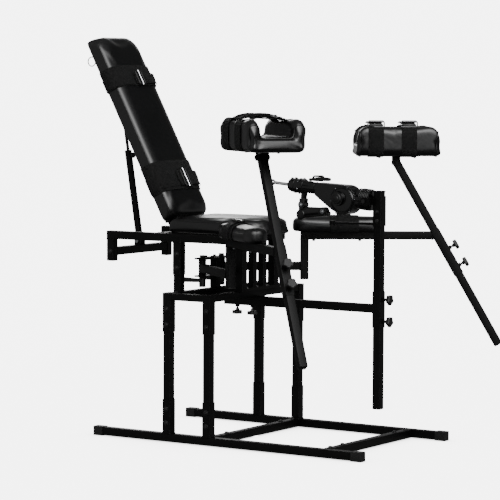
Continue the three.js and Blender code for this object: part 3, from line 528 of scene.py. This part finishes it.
def stuffed(mesh, size, cap, held, calm=3, voxel=0.006, pressure=4.0):
    """Swells a pad the way stuffing does and fits it to its size. held picks the points that rest on the board."""
    obj = bpy.data.objects.new("stuffing", mesh)
    scene.collection.objects.link(obj)
    remesh = obj.modifiers.new("voxels", "REMESH")
    remesh.mode = "VOXEL"
    remesh.voxel_size = voxel
    applied(obj)
    smooth = obj.modifiers.new("eased", "SMOOTH")
    smooth.iterations = 2
    smooth.factor = 0.4
    applied(obj)
    start = [v.co.copy() for v in obj.data.vertices]
    group = obj.vertex_groups.new(name="held")
    group.add([i for i, co in enumerate(start) if held(co)], 1.0, "REPLACE")
    cloth = obj.modifiers.new("cloth", "CLOTH")
    cloth.settings.quality = 4
    cloth.settings.vertex_group_mass = "held"
    cloth.settings.use_pressure = True
    cloth.settings.uniform_pressure_force = pressure
    cloth.settings.effector_weights.gravity = 0.0
    for number in range(1, 21):
        scene.frame_set(number)
    graph = bpy.context.evaluated_depsgraph_get()
    swollen = obj.evaluated_get(graph)
    ends = [v.co.copy() for v in swollen.data.vertices]
    obj.modifiers.clear()
    scene.frame_set(1)
    for vertex, before, after in zip(obj.data.vertices, start, ends):
        move = after - before
        if move.length > cap:
            move *= cap / move.length
        vertex.co = before + move
    obj.vertex_groups.clear()
    mesh = obj.data
    bpy.data.objects.remove(obj)
    work = bmesh.new()
    work.from_mesh(mesh)
    for _ in range(calm):
        bmesh.ops.smooth_vert(work, verts=work.verts, factor=0.5, use_axis_x=True, use_axis_y=True, use_axis_z=True)
    work.to_mesh(mesh)
    work.free()
    for axis in range(3):
        low = min(v.co[axis] for v in mesh.vertices)
        high = max(v.co[axis] for v in mesh.vertices)
        start = 0 if axis == 2 else -size[axis] / 2
        for vertex in mesh.vertices:
            vertex.co[axis] = start + size[axis] * (vertex.co[axis] - low) / (high - low)
    return mesh


def upholstered(name, mesh, body, nodes, place, material=skin):
    obj = piece(name, mesh, material, body, place, sharp=False)
    division = obj.modifiers.new("smooth", "SUBSURF")
    division.levels = 1
    division.render_levels = 1
    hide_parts(*nodes)
    return obj


def on_board(co):
    return co.z < 0.006


seat_low, seat_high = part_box("seat_board")[0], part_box("seat_cushion")[1]
SEAT_LENGTH, SEAT_WIDTH = 0.396, 0.275
seat_top = seat_high.z - seat_low.z
seat_mesh = pad_mesh(SEAT_LENGTH - 0.002, SEAT_WIDTH - 0.004, seat_top - 0.002, (0.014, 0.024), (0.09, 0.105), 0.018, 0.001)
for vertex in seat_mesh.vertices:
    # the foot of the back rests on the rear end
    under_back = 0.033 + 0.5384 * (vertex.co.x + SEAT_LENGTH / 2 + 0.013)
    vertex.co.z = min(vertex.co.z, under_back)
seat_size = (SEAT_LENGTH, SEAT_WIDTH, seat_top)
seat_mesh = stuffed(seat_mesh, seat_size, 0.006, lambda co: co.z < 0.006 or co.x < -0.165)
seat_place = STAND @ Matrix.Translation((-0.163, 0, seat_low.z))
seat = upholstered("seat_pad", seat_mesh, "stand", ["seat_cushion", "seat_board"], seat_place)

BACK_LENGTH, BACK_WIDTH = 0.755, 0.254
back_mesh = pad_mesh(BACK_LENGTH - 0.002, BACK_WIDTH - 0.004, 0.062, (0.012, 0.07), (0.014, 0.055), 0.02, 0.002)
back_mesh = stuffed(back_mesh, (BACK_LENGTH, BACK_WIDTH, 0.065), 0.006, on_board, 6)
back_place = BACK @ Matrix.Translation((-0.0008, 0, 0.4015)) @ turned(90, "Y")
back = upholstered("back_pad", back_mesh, "back", ["back_cushion"], back_place)

thigh_mesh = pad_mesh(0.326, 0.082, 0.053, (0.036, 0.04), (0.036, 0.04), 0.02, 0.003)
thigh_mesh = stuffed(thigh_mesh, (0.33, 0.088, 0.057), 0.006, on_board, 4, 0.005)
trough_mesh = stuffed(cradle_mesh(0.3, 0.197, 0.106, 0.036), (0.31, 0.204, 0.11), 0.006, on_board, 2, 0.005)
thighs, troughs = {}, {}
for side in SIDES:
    place = LEG[side] @ Matrix.Translation((0.427, 0, 0.7369))
    thighs[side] = upholstered(f"thigh_rest_{side}", thigh_mesh.copy(), f"leg_{side}", [f"thigh_pad_{side}"], place)
    place = CRADLE[side] @ Matrix.Translation((0, 0, 0.0225))
    troughs[side] = upholstered(
        f"calf_rest_{side}", trough_mesh.copy(), f"cradle_{side}", [f"calf_cradle_{side}"], place, wrinkled
    )

bpy.context.view_layer.update()
SURFACE = {obj.name: surface_of(obj) for obj in (seat, back, *thighs.values(), *troughs.values())}


def seam(name, path, surface, radius, body, place, up, sink=0.0, loop=True, material=skin):
    """Piping or a stitched seam that follows the finished surface."""
    points = []
    for p in path:
        where, normal, _, _ = surface.find_nearest(place @ p)
        points.append(where + normal * (radius - sink))
    for _ in range(2):
        count = len(points)
        eased = []
        for i, p in enumerate(points):
            if not loop and i in (0, count - 1):
                eased.append(p)
            else:
                eased.append(p * 0.5 + (points[i - 1] + points[(i + 1) % count]) * 0.25)
        points = eased
    mesh = wire(points, radius, (place.to_3x3() @ up).normalized(), loop, 8)
    return piece(name, mesh, material, body, sharp=False)


def rim(length, width, rear, front, z, step=0.008):
    shape = [Vector((x, y, z)) for x, y in outline(length, width, rear, front)]
    return filleted(shape, 0.002, step, True)


seam("seat_seam", rim(SEAT_LENGTH, SEAT_WIDTH, 0.045, 0.1, seat_top - 0.016), SURFACE["seat_pad"], 0.0016, "stand", seat_place, Z, 0.0016)
seam("back_seam", rim(BACK_LENGTH, BACK_WIDTH, 0.06, 0.045, 0.048), SURFACE["back_pad"], 0.0016, "back", back_place, Z, 0.0016)
for side in SIDES:
    place = CRADLE[side] @ Matrix.Translation((0, 0, 0.0225))
    body = f"cradle_{side}"
    for label, x in (("inner", -0.139), ("outer", 0.139)):
        loop = filleted(
            [(x, -0.1, 0.004), (x, 0.1, 0.004), (x, 0.1, 0.088), (x, 0.062, 0.088), (x, 0.062, 0.038), (x, -0.062, 0.038), (x, -0.062, 0.088), (x, -0.1, 0.088)],
            [0.012, 0.012, 0.018, 0.018, 0.02, 0.02, 0.018, 0.018],
            0.006,
            True,
        )
        seam(f"calf_piping_{side}_{label}", loop, SURFACE[f"calf_rest_{side}"], 0.0022, body, place, X, 0.0006)
    place = LEG[side] @ Matrix.Translation((0.427, 0, 0.7369))
    seam(f"thigh_seam_{side}", rim(0.33, 0.086, 0.036, 0.036, 0.03), SURFACE[f"thigh_rest_{side}"], 0.0014, f"leg_{side}", place, Z, 0.0014)


# ---------------------------------------------------------------- straps and buckles
def ribbon(name, path, across, width, thick, surface, place, body, lift=0.0012, columns=7, crumple=0.0):
    """A flat strap along a path, laid on a surface where there is one. It faces tangent x across."""
    across = (place.to_3x3() @ across).normalized()
    line = [place @ p for p in path]
    count = len(line)
    rows = []
    for i, p in enumerate(line):
        tangent = (line[min(i + 1, count - 1)] - line[max(i - 1, 0)]).normalized()
        out = tangent.cross(across).normalized()
        row = []
        for c in range(columns):
            q = p + across * width * (c / (columns - 1) - 0.5)
            hit = surface.ray_cast(q + out * 0.025, -out, 0.045) if surface else (None,)
            q = hit[0] + out * lift if hit[0] is not None else q
            wave = math.sin(i * 0.55 + c * 1.7) * math.sin(i * 0.21 + c * 0.9)
            row.append(q + out * crumple * (1 + wave))
        rows.append(row)
    for _ in range(3):
        eased = [list(row) for row in rows]
        for i in range(1, count - 1):
            for c in range(columns):
                eased[i][c] = rows[i][c] * 0.5 + (rows[i - 1][c] + rows[i + 1][c]) * 0.25
        rows = eased
    verts = [q for row in rows for q in row]
    faces = [
        (i * columns + c, i * columns + c + 1, (i + 1) * columns + c + 1, (i + 1) * columns + c)
        for i in range(count - 1)
        for c in range(columns - 1)
    ]
    mesh = bpy.data.meshes.new(name)
    mesh.from_pydata([tuple(v) for v in verts], [], faces)
    run = [0.0]
    for a, b in zip(line, line[1:]):
        run.append(run[-1] + (b - a).length)
    uv = mesh.uv_layers.new(name="strap")
    for loop in mesh.loops:
        row, column = divmod(loop.vertex_index, columns)
        uv.data[loop.index].uv = (width * column / (columns - 1), run[row])
    obj = piece(name, mesh, strapping, body, sharp=False)
    first = mesh.polygons[0]
    tangent = (line[1] - line[0]).normalized()
    outward = first.normal.dot(tangent.cross(across)) > 0
    solid = obj.modifiers.new("thickness", "SOLIDIFY")
    solid.thickness = thick
    solid.offset = 1.0 if outward else -1.0
    soft = obj.modifiers.new("edges", "BEVEL")
    soft.width = thick * 0.3
    soft.segments = 2
    soft.limit_method = "ANGLE"
    soft.angle_limit = math.radians(50)
    return obj


def rounded_frame(width, height, radius, step=0.003):
    """A loop in the XZ plane."""
    w, h = width / 2, height / 2
    return filleted([(-w, 0, -h), (w, 0, -h), (w, 0, h), (-w, 0, h)], radius, step, True)


def basis(at, across, out):
    """A place whose X runs across a strap and whose Y stands off it."""
    across, out = Vector(across), Vector(out)
    along = across.cross(out)
    return Matrix.Translation(at) @ Matrix((across, out, along)).transposed().to_4x4()


def slide_buckle(name, place, width, height, body):
    """A plastic frame with a chrome bar: X is across the strap and Z runs along it."""
    loop = wire(rounded_frame(width, height, 0.006), 0.003, Y, True, 12)
    piece(f"{name}_frame", loop, plastic, body, place)
    bar = wire([Vector((-width / 2 + width * k / 8, 0.0022, 0.0008 * math.sin(k))) for k in range(9)], 0.0026, Y)
    ends = [revolved([(-0.003, 0.0034), (0.003, 0.0034), (0.004, 0.002)], (sign * width / 2, 0.0016, 0), (sign, 0, 0), 14) for sign in (-1, 1)]
    return piece(f"{name}_bar", merged([bar, *ends]), chrome, body, place)


def keeper(width, height, thick):
    """A pressed plate with rolled edges, standing in the XZ plane."""
    rings = []
    for y, inset in ((0.0, 0.0012), (thick * 0.3, 0.0), (thick * 0.8, 0.0002), (thick, 0.0016), (thick * 0.7, 0.004)):
        shape = outline(width - 2 * inset, height - 2 * inset, 0.003, 0.003, 4)
        rings.append([Vector((x, y, z)) for x, z in shape])
    return loft(rings)


def roller_buckle(name, place, width, height, body):
    """A heavy frame with a roller at its top, a keeper plate and a prong."""
    top = height / 2
    roller = [(0.003, 0.003), (0.0045, 0.0046), (width - 0.0045, 0.0046), (width - 0.003, 0.003)]
    prong = filleted([(0, 0.003, -top + 0.001), (0, 0.0068, -top + 0.006), (0, 0.0068, top - 0.002), (0, 0.005, top + 0.004)], 0.003, 0.002)
    plate = keeper(width - 0.008, height * 0.5, 0.0035)
    plate.transform(Matrix.Translation((0, -0.001, -top * 0.35)))
    piece(f"{name}_plate", plate, plastic, body, place)
    parts = [
        wire(rounded_frame(width, height, 0.005), 0.0026, Y, True, 12),
        revolved(roller, (-width / 2, 0, top), (1, 0, 0), 20),
        wire(prong, 0.0016, X),
    ]
    return piece(name, merged(parts), nickel, body, place)


def around_back(z):
    """Once round the back pad from one edge of the board to the other."""
    corners = [(-0.0025, -0.084, z), (-0.0025, -0.129, z), (0.066, -0.129, z), (0.066, 0.129, z), (-0.0025, 0.129, z), (-0.0025, 0.084, z)]
    return filleted(corners, [0, 0.006, 0.022, 0.022, 0.006, 0], 0.006)


def part_of(path, start, end):
    return path[int(len(path) * start) : int(len(path) * end)]


BANDS = {
    "chest": {"band": (0.598, 0.084), "strap": (0.583, 0.046), "bar": 0.003},
    "lap": {"band": (0.186, 0.118), "strap": (0.168, 0.06), "bar": 0.016},
}
surface = SURFACE["back_pad"]
for label, size in BANDS.items():
    z, wide = size["band"]
    ribbon(f"{label}_band", around_back(z), Z, wide, 0.0032, surface, BACK, "back", 0.0008, 9)
    z, wide = size["strap"]
    path = around_back(z)
    ribbon(f"{label}_strap", part_of(path, 0.06, 0.94), Z, wide, 0.002, surface, BACK, "back", 0.0046, 7)
    ribbon(f"{label}_tail", part_of(path, 0.44, 0.78), Z, wide * 0.94, 0.002, surface, BACK, "back", 0.0076, 7, 0.0022)
    place = BACK @ basis((0.0775, size["bar"], z), (0, 0, 1), (1, 0, 0))
    slide_buckle(f"{label}_buckle", place, wide + 0.008, 0.034, "back")

CALF_STRAPS = {"inner": -0.083, "outer": 0.038}
for side in SIDES:
    frame_of = CRADLE[side]
    surface = SURFACE[f"calf_rest_{side}"]
    body = f"cradle_{side}"
    sign = 1 if side == "right" else -1
    for label, x in CALF_STRAPS.items():
        corners = [(0.05, 0.0215), (0.105, 0.0215), (0.105, 0.134), (0.06, 0.134), (0, 0.13)]
        corners += [(-0.06, 0.134), (-0.105, 0.134), (-0.105, 0.0215), (-0.05, 0.0215)]
        path = filleted([(x, y, z) for y, z in corners], [0, 0.008, 0.018, 0.02, 0.12, 0.02, 0.018, 0.008, 0], 0.005)
        ribbon(f"calf_strap_{side}_{label}", path, X, 0.056, 0.0024, surface, frame_of, body, 0.0012, 7)
        if side == "right":
            # loose ends gathered over the middle, the buckle under them
            bundle = 0.0 if label == "outer" else -0.024
            for layer in range(3):
                lift, end = 0.0045 * layer, 0.01 * layer
                points = [
                    (x * 0.3 + bundle, -0.093 + end, 0.137 + lift),
                    (bundle, -0.045, 0.144 + lift),
                    (bundle, 0.015, 0.143 + lift),
                    (x * 0.3 + bundle, 0.072 - end, 0.1345 + lift),
                ]
                path = filleted(points, 0.05, 0.005)
                wide = 0.042 - 0.006 * layer
                name = f"calf_tail_{side}_{label}_{layer + 1}"
                ribbon(name, path, X, wide, 0.003, None, frame_of, body, 0.0, 7, 0.0036)
            place = frame_of @ Matrix.Translation((x, 0.03, 0.1375)) @ turned(90, "X")
        else:
            for layer in range(2):
                z, reach = 0.1365 + 0.004 * layer, 0.084 - 0.012 * layer
                points = [(x, reach, z), (x, 0.03, z + 0.003), (x, -0.03, z + 0.003), (x, -reach + 0.012, z)]
                path = filleted(points, 0.05, 0.005)
                wide = 0.05 - 0.004 * layer
                name = f"calf_tail_{side}_{label}_{layer + 1}"
                ribbon(name, path, X, wide, 0.0026, None, frame_of, body, 0.0, 7, 0.0026)
            place = frame_of @ Matrix.Translation((x, -0.088, 0.1395)) @ turned(-12, "X")
        roller_buckle(f"calf_buckle_{side}_{label}", place, 0.06, 0.02, body)

THIGH_STRAP = {"right": (0.385, 0.1), "left": (0.45, 0.106)}
for side in SIDES:
    x, width = THIGH_STRAP[side]
    corners = [(x, 0.02, 0.7355), (x, 0.045, 0.7355), (x, 0.045, 0.795), (x, -0.045, 0.795), (x, -0.045, 0.7355), (x, -0.02, 0.7355)]
    path = filleted(corners, [0, 0.006, 0.02, 0.02, 0.006, 0], 0.005)
    surface = SURFACE[f"thigh_rest_{side}"]
    ribbon(f"thigh_band_{side}", path, X, width, 0.0028, surface, LEG[side], f"leg_{side}", 0.001, 9)
    ribbon(f"thigh_strap_{side}", part_of(path, 0.1, 0.9), X, 0.05, 0.002, surface, LEG[side], f"leg_{side}", 0.0042, 7, 0.001)
    place = LEG[side] @ basis((x, 0, 0.8035), (1, 0, 0), (0, 0, 1))
    slide_buckle(f"thigh_buckle_{side}", place, 0.056, 0.028, f"leg_{side}")


# ---------------------------------------------------------------- small hardware
def bolt(at, direction, size=0.0065):
    """A washer and a chamfered hexagon head."""
    washer = revolved([(0.0, size * 1.5), (0.0011, size * 1.5), (0.0014, size * 1.42)], at, direction, 20)
    head = revolved(
        [(0.0012, size * 1.02), (0.0052, size * 1.02), (0.0062, size * 0.82)], at, direction, lobes=6
    )
    return [washer, head]


def cap_screw(at, direction, size=0.004):
    return [
        revolved(
            [(-0.001, size), (size * 0.75, size), (size, size * 0.82), (size, size * 0.5), (size * 0.5, size * 0.46)],
            at,
            direction,
            16,
        )
    ]


def bolts(name, places, material, body, slot, frame_of=STAND, maker=bolt, **options):
    parts = [mesh for at, direction in places for mesh in maker(at, direction, **options)]
    return piece(name, merged(parts), material, body, frame_of)


def end_plug(at, direction, size, depth=0.003):
    """A moulded plug that closes the end of a square tube."""
    direction = Vector(direction).normalized()
    flat = Vector((0, 0, 1)) if abs(direction.z) < 0.9 else Vector((0, 1, 0))
    up = (flat - direction * flat.dot(direction)).normalized()
    side = direction.cross(up)
    rings = []
    for height, inset in ((-0.012, 0.0026), (0.0002, 0.0026), (0.0002, 0.0002), (depth * 0.6, 0.0), (depth, 0.0022), (depth * 1.15, size * 0.3)):
        half = size / 2 - inset
        shape = outline(2 * half, 2 * half, max(0.003 - inset, 0.0008), max(0.003 - inset, 0.0008), 3)
        rings.append([Vector(at) + direction * height + side * x + up * y for x, y in shape])
    return loft(rings)


stations = (-0.2415, -0.07)
places = []
for sign in (-1, 1):
    for x in stations:
        for z in (0.07, 0.12):
            places.append(((x, sign * 0.3121, z), (0, sign, 0)))
        for z in (0.422, 0.478):
            places.append(((x, sign * 0.3121, z), (0, sign, 0)))
    for z in (0.615, 0.665):
        places.append(((-0.283, sign * 0.1901, z), (0, sign, 0)))
    for x in (-0.07, 0.414):
        for y in (0.18, 0.262):
            places.append(((x, sign * y, 0.0321), (0, 0, 1)))
    places.append(((-0.582, sign * 0.1881, 0.662), (0, sign, 0)))
bolts("stand_bolts", places, plastic, "stand", "black_plastic")

clamp = [((-0.251 + dx, sign * 0.028, 0.6463), (0, 0, 1)) for dx in (-0.014, 0.014) for sign in (-1, 1)]
bolts("pivot_plate_bolts", clamp, plastic, "stand", "black_plastic", size=0.0055)

for side in SIDES:
    sign = -1 if side == "right" else 1
    leg, cradle = LEG[side], CRADLE[side]
    lean = math.radians(29.7)
    raised = 0.03 if side == "right" else -0.015
    up = Vector((-math.sin(lean), 0, math.cos(lean)))
    knee = Vector((0.797, 0, 0.7215))
    plugs = [end_plug(knee + up * (raised - 0.448), -up, 0.03)]
    piece(f"calf_post_plug_{side}", merged(plugs), plastic, f"calf_post_{side}", leg)
    piece(f"leg_plug_{side}", end_plug((0.306, 0, 0.562), (0, 0, -1), 0.03), plastic, f"leg_{side}", leg)
    under = [((dx, dy, 0.0199), (0, 0, -1)) for dx in (-0.065, 0.065) for dy in (-0.034, 0.034)]
    bolts(f"cradle_screws_{side}", under, zinc, f"cradle_{side}", "zinc_steel", cradle, size=0.0045)
    beneath = [((x, 0, 0.7063), (0, 0, -1)) for x in (0.34, 0.51)]
    bolts(f"thigh_screws_{side}", beneath, zinc, f"leg_{side}", "zinc_steel", leg, size=0.005)

frame_ends = [end_plug((-0.582, sign * 0.173, 0.63), (0, 0, -1), 0.03) for sign in (-1, 1)]
piece("seat_frame_plugs", merged(frame_ends), plastic, "stand", STAND)
front_ends = [end_plug((-0.061, sign * 0.173, 0.723), (1, 0, 0), 0.03) for sign in (-1, 1)]
piece("seat_rail_plugs", merged(front_ends), plastic, "stand", STAND)
piece("beam_plug", end_plug((-0.18, 0, 0.494), (-1, 0, 0), 0.03), plastic, "beam", STAND)
piece("mast_foot_plug", end_plug((0.45, 0, 0.142), (0, 0, -1), 0.03), plastic, "mast", STAND)
piece("mast_cap", end_plug((0.45, 0, 0.9042), (0, 0, 1), 0.034, 0.0045), plastic, "mast", STAND)
tube_ends = [end_plug((-0.0113, sign * 0.07, 0.7), (0, 0, 1), 0.02, 0.002) for sign in (-1, 1)]
piece("back_tube_plugs", merged(tube_ends), plastic, "back", BACK)

screws = [((-0.0013 - 0.003, sign * 0.045, z), (-1, 0, 0)) for z in (0.12, 0.69) for sign in (-1, 1)]
bolts("back_frame_screws", screws, zinc, "back", "zinc_steel", BACK, size=0.0045)
collar = [((0.45, sign * 0.0181, z), (0, sign, 0)) for z in (0.803, 0.835) for sign in (-1, 1)]
bolts("collar_bolts", collar, plastic, "mast", "black_plastic", size=0.005)


def bead(at, direction, size, height=None):
    """The weld round the end of a square tube that meets a face."""
    direction = Vector(direction).normalized()
    flat = Z if abs(direction.z) < 0.9 else Y
    up = (flat - direction * flat.dot(direction)).normalized()
    across = direction.cross(up)
    shape = outline(size + 0.0012, (height or size) + 0.0012, 0.003, 0.003, 3)
    path = filleted([Vector(at) + across * x + up * y for x, y in shape], 0.001, 0.0022, True)
    return wire(path, 0.0015, direction, True, 8, 0.28)


joins = []
for sign in (-1, 1):
    for x in stations:
        joins.append(bead((x, sign * 0.295, 0.0322), Z, 0.034))
        joins.append(bead((x, sign * 0.278, 0.5225), Y, 0.03, 0.025))
    for x, z in ((-0.582, 0.662), (-0.374, 0.723), (-0.076, 0.723)):
        joins.append(bead((x, sign * 0.158, z), Y, 0.03))
    joins.append(bead((-0.582, sign * 0.173, 0.7079), Z, 0.03))
    joins.append(bead((-0.283, sign * 0.173, 0.7079), Z, 0.034))
for x in (-0.2265, -0.085):
    for y in (-0.295, 0.295):
        joins.append(bead((x, y, 0.5225), X, 0.03, 0.025))
piece("stand_welds", merged(joins), powder, "stand", STAND)
piece("beam_weld", bead((0.4332, 0, 0.494), X, 0.03), powder, "beam", STAND)
for side in SIDES:
    joins = [
        bead((0.0135, 0, 0.608), X, 0.026),
        bead((0.2908, 0, 0.608), X, 0.03),
        bead((0.306, 0, 0.7064), Z, 0.03),
        bead((0.7772, 0, 0.7215), X, 0.034, 0.03),
    ]
    piece(f"leg_welds_{side}", merged(joins), powder, f"leg_{side}", LEG[side])


# ---------------------------------------------------------------- drive
def ring(x, z, radius, thick, axis=X, y=0.0, sides=36):
    """A round hoop about a line along X, or along Y through (x, y, z)."""
    points = []
    for k in range(sides):
        angle = 2 * math.pi * k / sides
        if axis is X:
            points.append(Vector((x, radius * math.cos(angle), z + radius * math.sin(angle))))
        else:
            points.append(Vector((x + radius * math.cos(angle), y, z + radius * math.sin(angle))))
    return wire(points, thick, axis, True, 8)


fins = [ring(-0.008 - 0.0062 * k, 0.003, 0.0372, 0.0015) for k in range(6)]
piece("motor_fins", merged(fins), casting, "drive", DRIVE)
hoops = [ring(x, 0.0184, r, t) for x, r, t in ((-0.344, 0.0205, 0.0014), (-0.32, 0.026, 0.0016), (-0.284, 0.0262, 0.0018), (-0.235, 0.0218, 0.0014), (-0.19, 0.0218, 0.0014))]
piece("nose_rings", merged(hoops), casting, "drive", DRIVE)
screws = []
for k in range(6):
    angle = math.radians(60 * k + 20)
    out = Vector((0, math.cos(angle), math.sin(angle)))
    screws.append((Vector((-0.302, 0, 0.0184)) + out * 0.0258, out))
bolts("nose_screws", screws, zinc, "drive", "zinc_steel", DRIVE, cap_screw, size=0.0032)
studs = [((x, 0.012 * sign, 0.0184 + z), (0, 0.35 * sign, 1)) for x, z in ((-0.331, 0.022), (-0.296, 0.0232)) for sign in (-1, 1)]
bolts("nose_studs", studs, casting, "drive", "gloss_black_casting", DRIVE, size=0.005)
cover = []
for k in range(6):
    angle = math.radians(60 * k + 10)
    cover.append(((-0.106 + 0.0487 * math.cos(angle), -0.0314, -0.007 + 0.0487 * math.sin(angle)), (0, -1, 0)))
bolts("cover_screws", cover, zinc, "drive", "zinc_steel", DRIVE, cap_screw, size=0.0026)
def cast_arm(stations, count=20):
    """A cast arm along X, its sections (x, centre z, half width, half height) full and square-shouldered."""
    rings = []
    for x, z, wide, high in stations:
        shape = []
        for k in range(count):
            angle = 2 * math.pi * k / count
            c, d = math.cos(angle), math.sin(angle)
            shape.append(Vector((x, math.copysign(wide * abs(c) ** 0.5, c), z + math.copysign(high * abs(d) ** 0.5, d))))
        rings.append(shape)
    return loft(rings)


reach = []
for k in range(13):
    t = k / 12
    swell = 0.003 * math.sin(math.pi * t) + 0.014 * max(0.0, t - 0.75)
    ends = math.sqrt(max(1 - max(0.0, 0.1 - t) ** 2 / 0.01, 0.16))
    high = (0.0158 - 0.003 * t + swell) * ends
    reach.append((-0.3015 + 0.112 * t, -0.0795 + 0.019 * t, 0.0125 * ends, high))
elbow_disc = [(-0.0135, 0.006), (-0.0135, 0.015), (-0.0105, 0.0185), (0.0105, 0.0185), (0.0135, 0.015), (0.0135, 0.006)]
arm = [cast_arm(reach), revolved(elbow_disc, (-0.2865, 0, -0.0815), (0, 1, 0), 28)]
piece("link_casting", merged(arm), casting, "support_link", DRIVE)
grip = [(0.004, 0, -0.002), (0.05, 0, 0.001), (0.053, 0, 0.018), (0.012, 0, 0.013)]
grip = [Vector((-0.262, 0, 0.047)) + p for p in filleted(grip, [0.004, 0.006, 0.007, 0.006], 0.003, True)]
piece("release_grip", wire(grip, 0.0034, Y, True, 12), plastic, "release_lever", DRIVE)
trim = [ring(-0.106, -0.007, 0.0495, 0.0016, Y, -0.0315), ring(-0.106, -0.007, 0.043, 0.0014, Y, -0.0372)]
piece("cover_rings", merged(trim), casting, "drive", DRIVE)
centre = Vector((-0.12, -0.0503, -0.003))
knob = [revolved([(0, 0.019), (0.003, 0.0195), (0.0055, 0.0175), (0.0062, 0.011), (0.0085, 0.0095), (0.0095, 0.004)], centre, (0, -1, 0), 28)]
piece("cover_centre_knob", merged(knob), plastic, "drive", DRIVE)
pins = [((-0.285, sign * 0.0181, -0.046), (0, sign, 0)) for sign in (-1, 1)]
bolts("elbow_bolts", pins, zinc, "drive", "zinc_steel", DRIVE, size=0.0055)
pins = [((-0.197, sign * 0.0131, -0.060), (0, sign, 0)) for sign in (-1, 1)]
bolts("link_bolts", pins, zinc, "support_link", "zinc_steel", DRIVE, size=0.0055)


# ---------------------------------------------------------------- floor, light and camera
BACKGROUND = 6.0


def pale_floor():
    """A pale floor that fades into the background far from the object. Seen by the camera it glows, with a painted
    contact shadow where ambient occlusion dims the glow.
    """
    made, tree = blank("pale_floor")
    place = node(tree, "ShaderNodeTexCoord").outputs["Object"]
    away = node(tree, "ShaderNodeVectorMath", {0: place}, operation="LENGTH").outputs["Value"]
    fade = node(
        tree,
        "ShaderNodeMapRange",
        {"Value": away, "From Min": 1.4, "From Max": 3.2, "To Min": 0.0, "To Max": 1.0},
        interpolation_type="SMOOTHSTEP",
    ).outputs["Result"]
    grain = noise(tree, 3.0, 4.0)
    paint = node(tree, "ShaderNodeBsdfDiffuse", {"Color": (0.9, 0.9, 0.9, 1)}).outputs[0]
    # painted contact shadow: ambient occlusion dims the floor's glow under and near the object
    shade = node(tree, "ShaderNodeAmbientOcclusion", {"Distance": 0.22}, samples=8).outputs["AO"]
    soft = scaled(tree, shade, BACKGROUND * 0.25, BACKGROUND)
    shadowed_glow_strength = node(tree, "ShaderNodeMath", {0: soft, 1: scaled(tree, grain, 0.97, 1.0)}, operation="MULTIPLY").outputs[0]
    bright = node(tree, "ShaderNodeEmission", {"Strength": shadowed_glow_strength}).outputs[0]
    seen = node(tree, "ShaderNodeLightPath").outputs["Is Camera Ray"]
    solid = node(tree, "ShaderNodeMixShader", {0: seen, 1: paint, 2: bright}).outputs[0]
    clear = node(tree, "ShaderNodeBsdfTransparent").outputs[0]
    both = node(tree, "ShaderNodeMixShader", {0: fade, 1: solid, 2: clear}).outputs[0]
    node(tree, "ShaderNodeOutputMaterial", {"Surface": both})
    return made


steps = 96
rings = []
for radius in (0.02, 0.8, 1.6, 2.6, 3.6):
    rings.append([Vector((radius * math.cos(2 * math.pi * k / steps), radius * math.sin(2 * math.pi * k / steps), 0)) for k in range(steps)])
floor_mesh = loft(rings, caps=False)
floor = bpy.data.objects.new("floor", floor_mesh)
floor_mesh.materials.append(pale_floor())
scene.collection.objects.link(floor)
floor.location.z = -0.0005
floor.visible_glossy = False

world = bpy.data.worlds.new("studio")
scene.world = world
world.use_nodes = True
tree = world.node_tree
tree.nodes.clear()
direction = node(tree, "ShaderNodeTexCoord").outputs["Generated"]


def glow(towards, wide, narrow, strength):
    """A soft light in the sky: full inside narrow degrees of a direction, gone beyond wide."""
    aim = Vector(towards).normalized()
    match = node(tree, "ShaderNodeVectorMath", {0: direction, 1: tuple(aim)}, operation="DOT_PRODUCT").outputs["Value"]
    return node(
        tree,
        "ShaderNodeMapRange",
        {
            "Value": match,
            "From Min": math.cos(math.radians(wide)),
            "From Max": math.cos(math.radians(narrow)),
            "To Min": 0.0,
            "To Max": strength,
        },
        interpolation_type="SMOOTHSTEP",
    ).outputs["Result"]


def total(values):
    result = values[0]
    for value in values[1:]:
        result = node(tree, "ShaderNodeMath", {0: result, 1: value}, operation="ADD").outputs[0]
    return result


seen_in_gloss = total(
    [
        glow((0.62, -0.49, 0.56), 40, 12, 6.0),
        glow((-0.55, 0.83, 0.02), 48, 10, 0.35),
        glow((-0.6, -0.8, 0.1), 70, 10, 0.35),
        glow((0.6, 0.8, -0.15), 28, 8, 0.3),
        glow((0, 0, 1), 60, 20, 0.2),
        glow((0, 0, 1), 179, 178, 0.05),
    ]
)
path = node(tree, "ShaderNodeLightPath")
fill = node(tree, "ShaderNodeBackground", {"Color": (1, 1, 1, 1), "Strength": 0.5}).outputs[0]
gloss = node(tree, "ShaderNodeBackground", {"Color": (1, 1, 1, 1), "Strength": seen_in_gloss}).outputs[0]
white = node(tree, "ShaderNodeBackground", {"Color": (1, 1, 1, 1), "Strength": BACKGROUND}).outputs[0]
lit = node(tree, "ShaderNodeMixShader", {0: path.outputs["Is Glossy Ray"], 1: fill, 2: gloss}).outputs[0]
shown = node(tree, "ShaderNodeMixShader", {0: path.outputs["Is Camera Ray"], 1: lit, 2: white}).outputs[0]
node(tree, "ShaderNodeOutputWorld", {"Surface": shown})


def softbox(name, at, target, size, watts):
    light = bpy.data.lights.new(name, "AREA")
    light.shape = "RECTANGLE"
    light.size, light.size_y = size
    light.energy = watts
    obj = bpy.data.objects.new(name, light)
    obj.location = at
    obj.rotation_euler = (Vector(target) - Vector(at)).to_track_quat("-Z", "Y").to_euler()
    scene.collection.objects.link(obj)


softbox("key", (3.2, -2.6, 3.4), (0, 0, 0.7), (2.0, 2.0), 60)
softbox("rim", (-2.6, 2.6, 2.2), (0, 0, 0.7), (1.6, 1.6), 30)

camera = bpy.data.cameras.new("camera")
camera.sensor_width = 36.0
camera.lens = 180.2
camera.clip_end = 100.0
viewer = bpy.data.objects.new("camera", camera)
viewer.location = ORIGIN + Vector((4.866, -7.563, 1.335))
viewer.rotation_euler = (turned(33.24, "Z") @ turned(85.84, "X") @ turned(0.24, "Z")).to_euler()
scene.collection.objects.link(viewer)
scene.camera = viewer
bpy.context.scene.camera = viewer
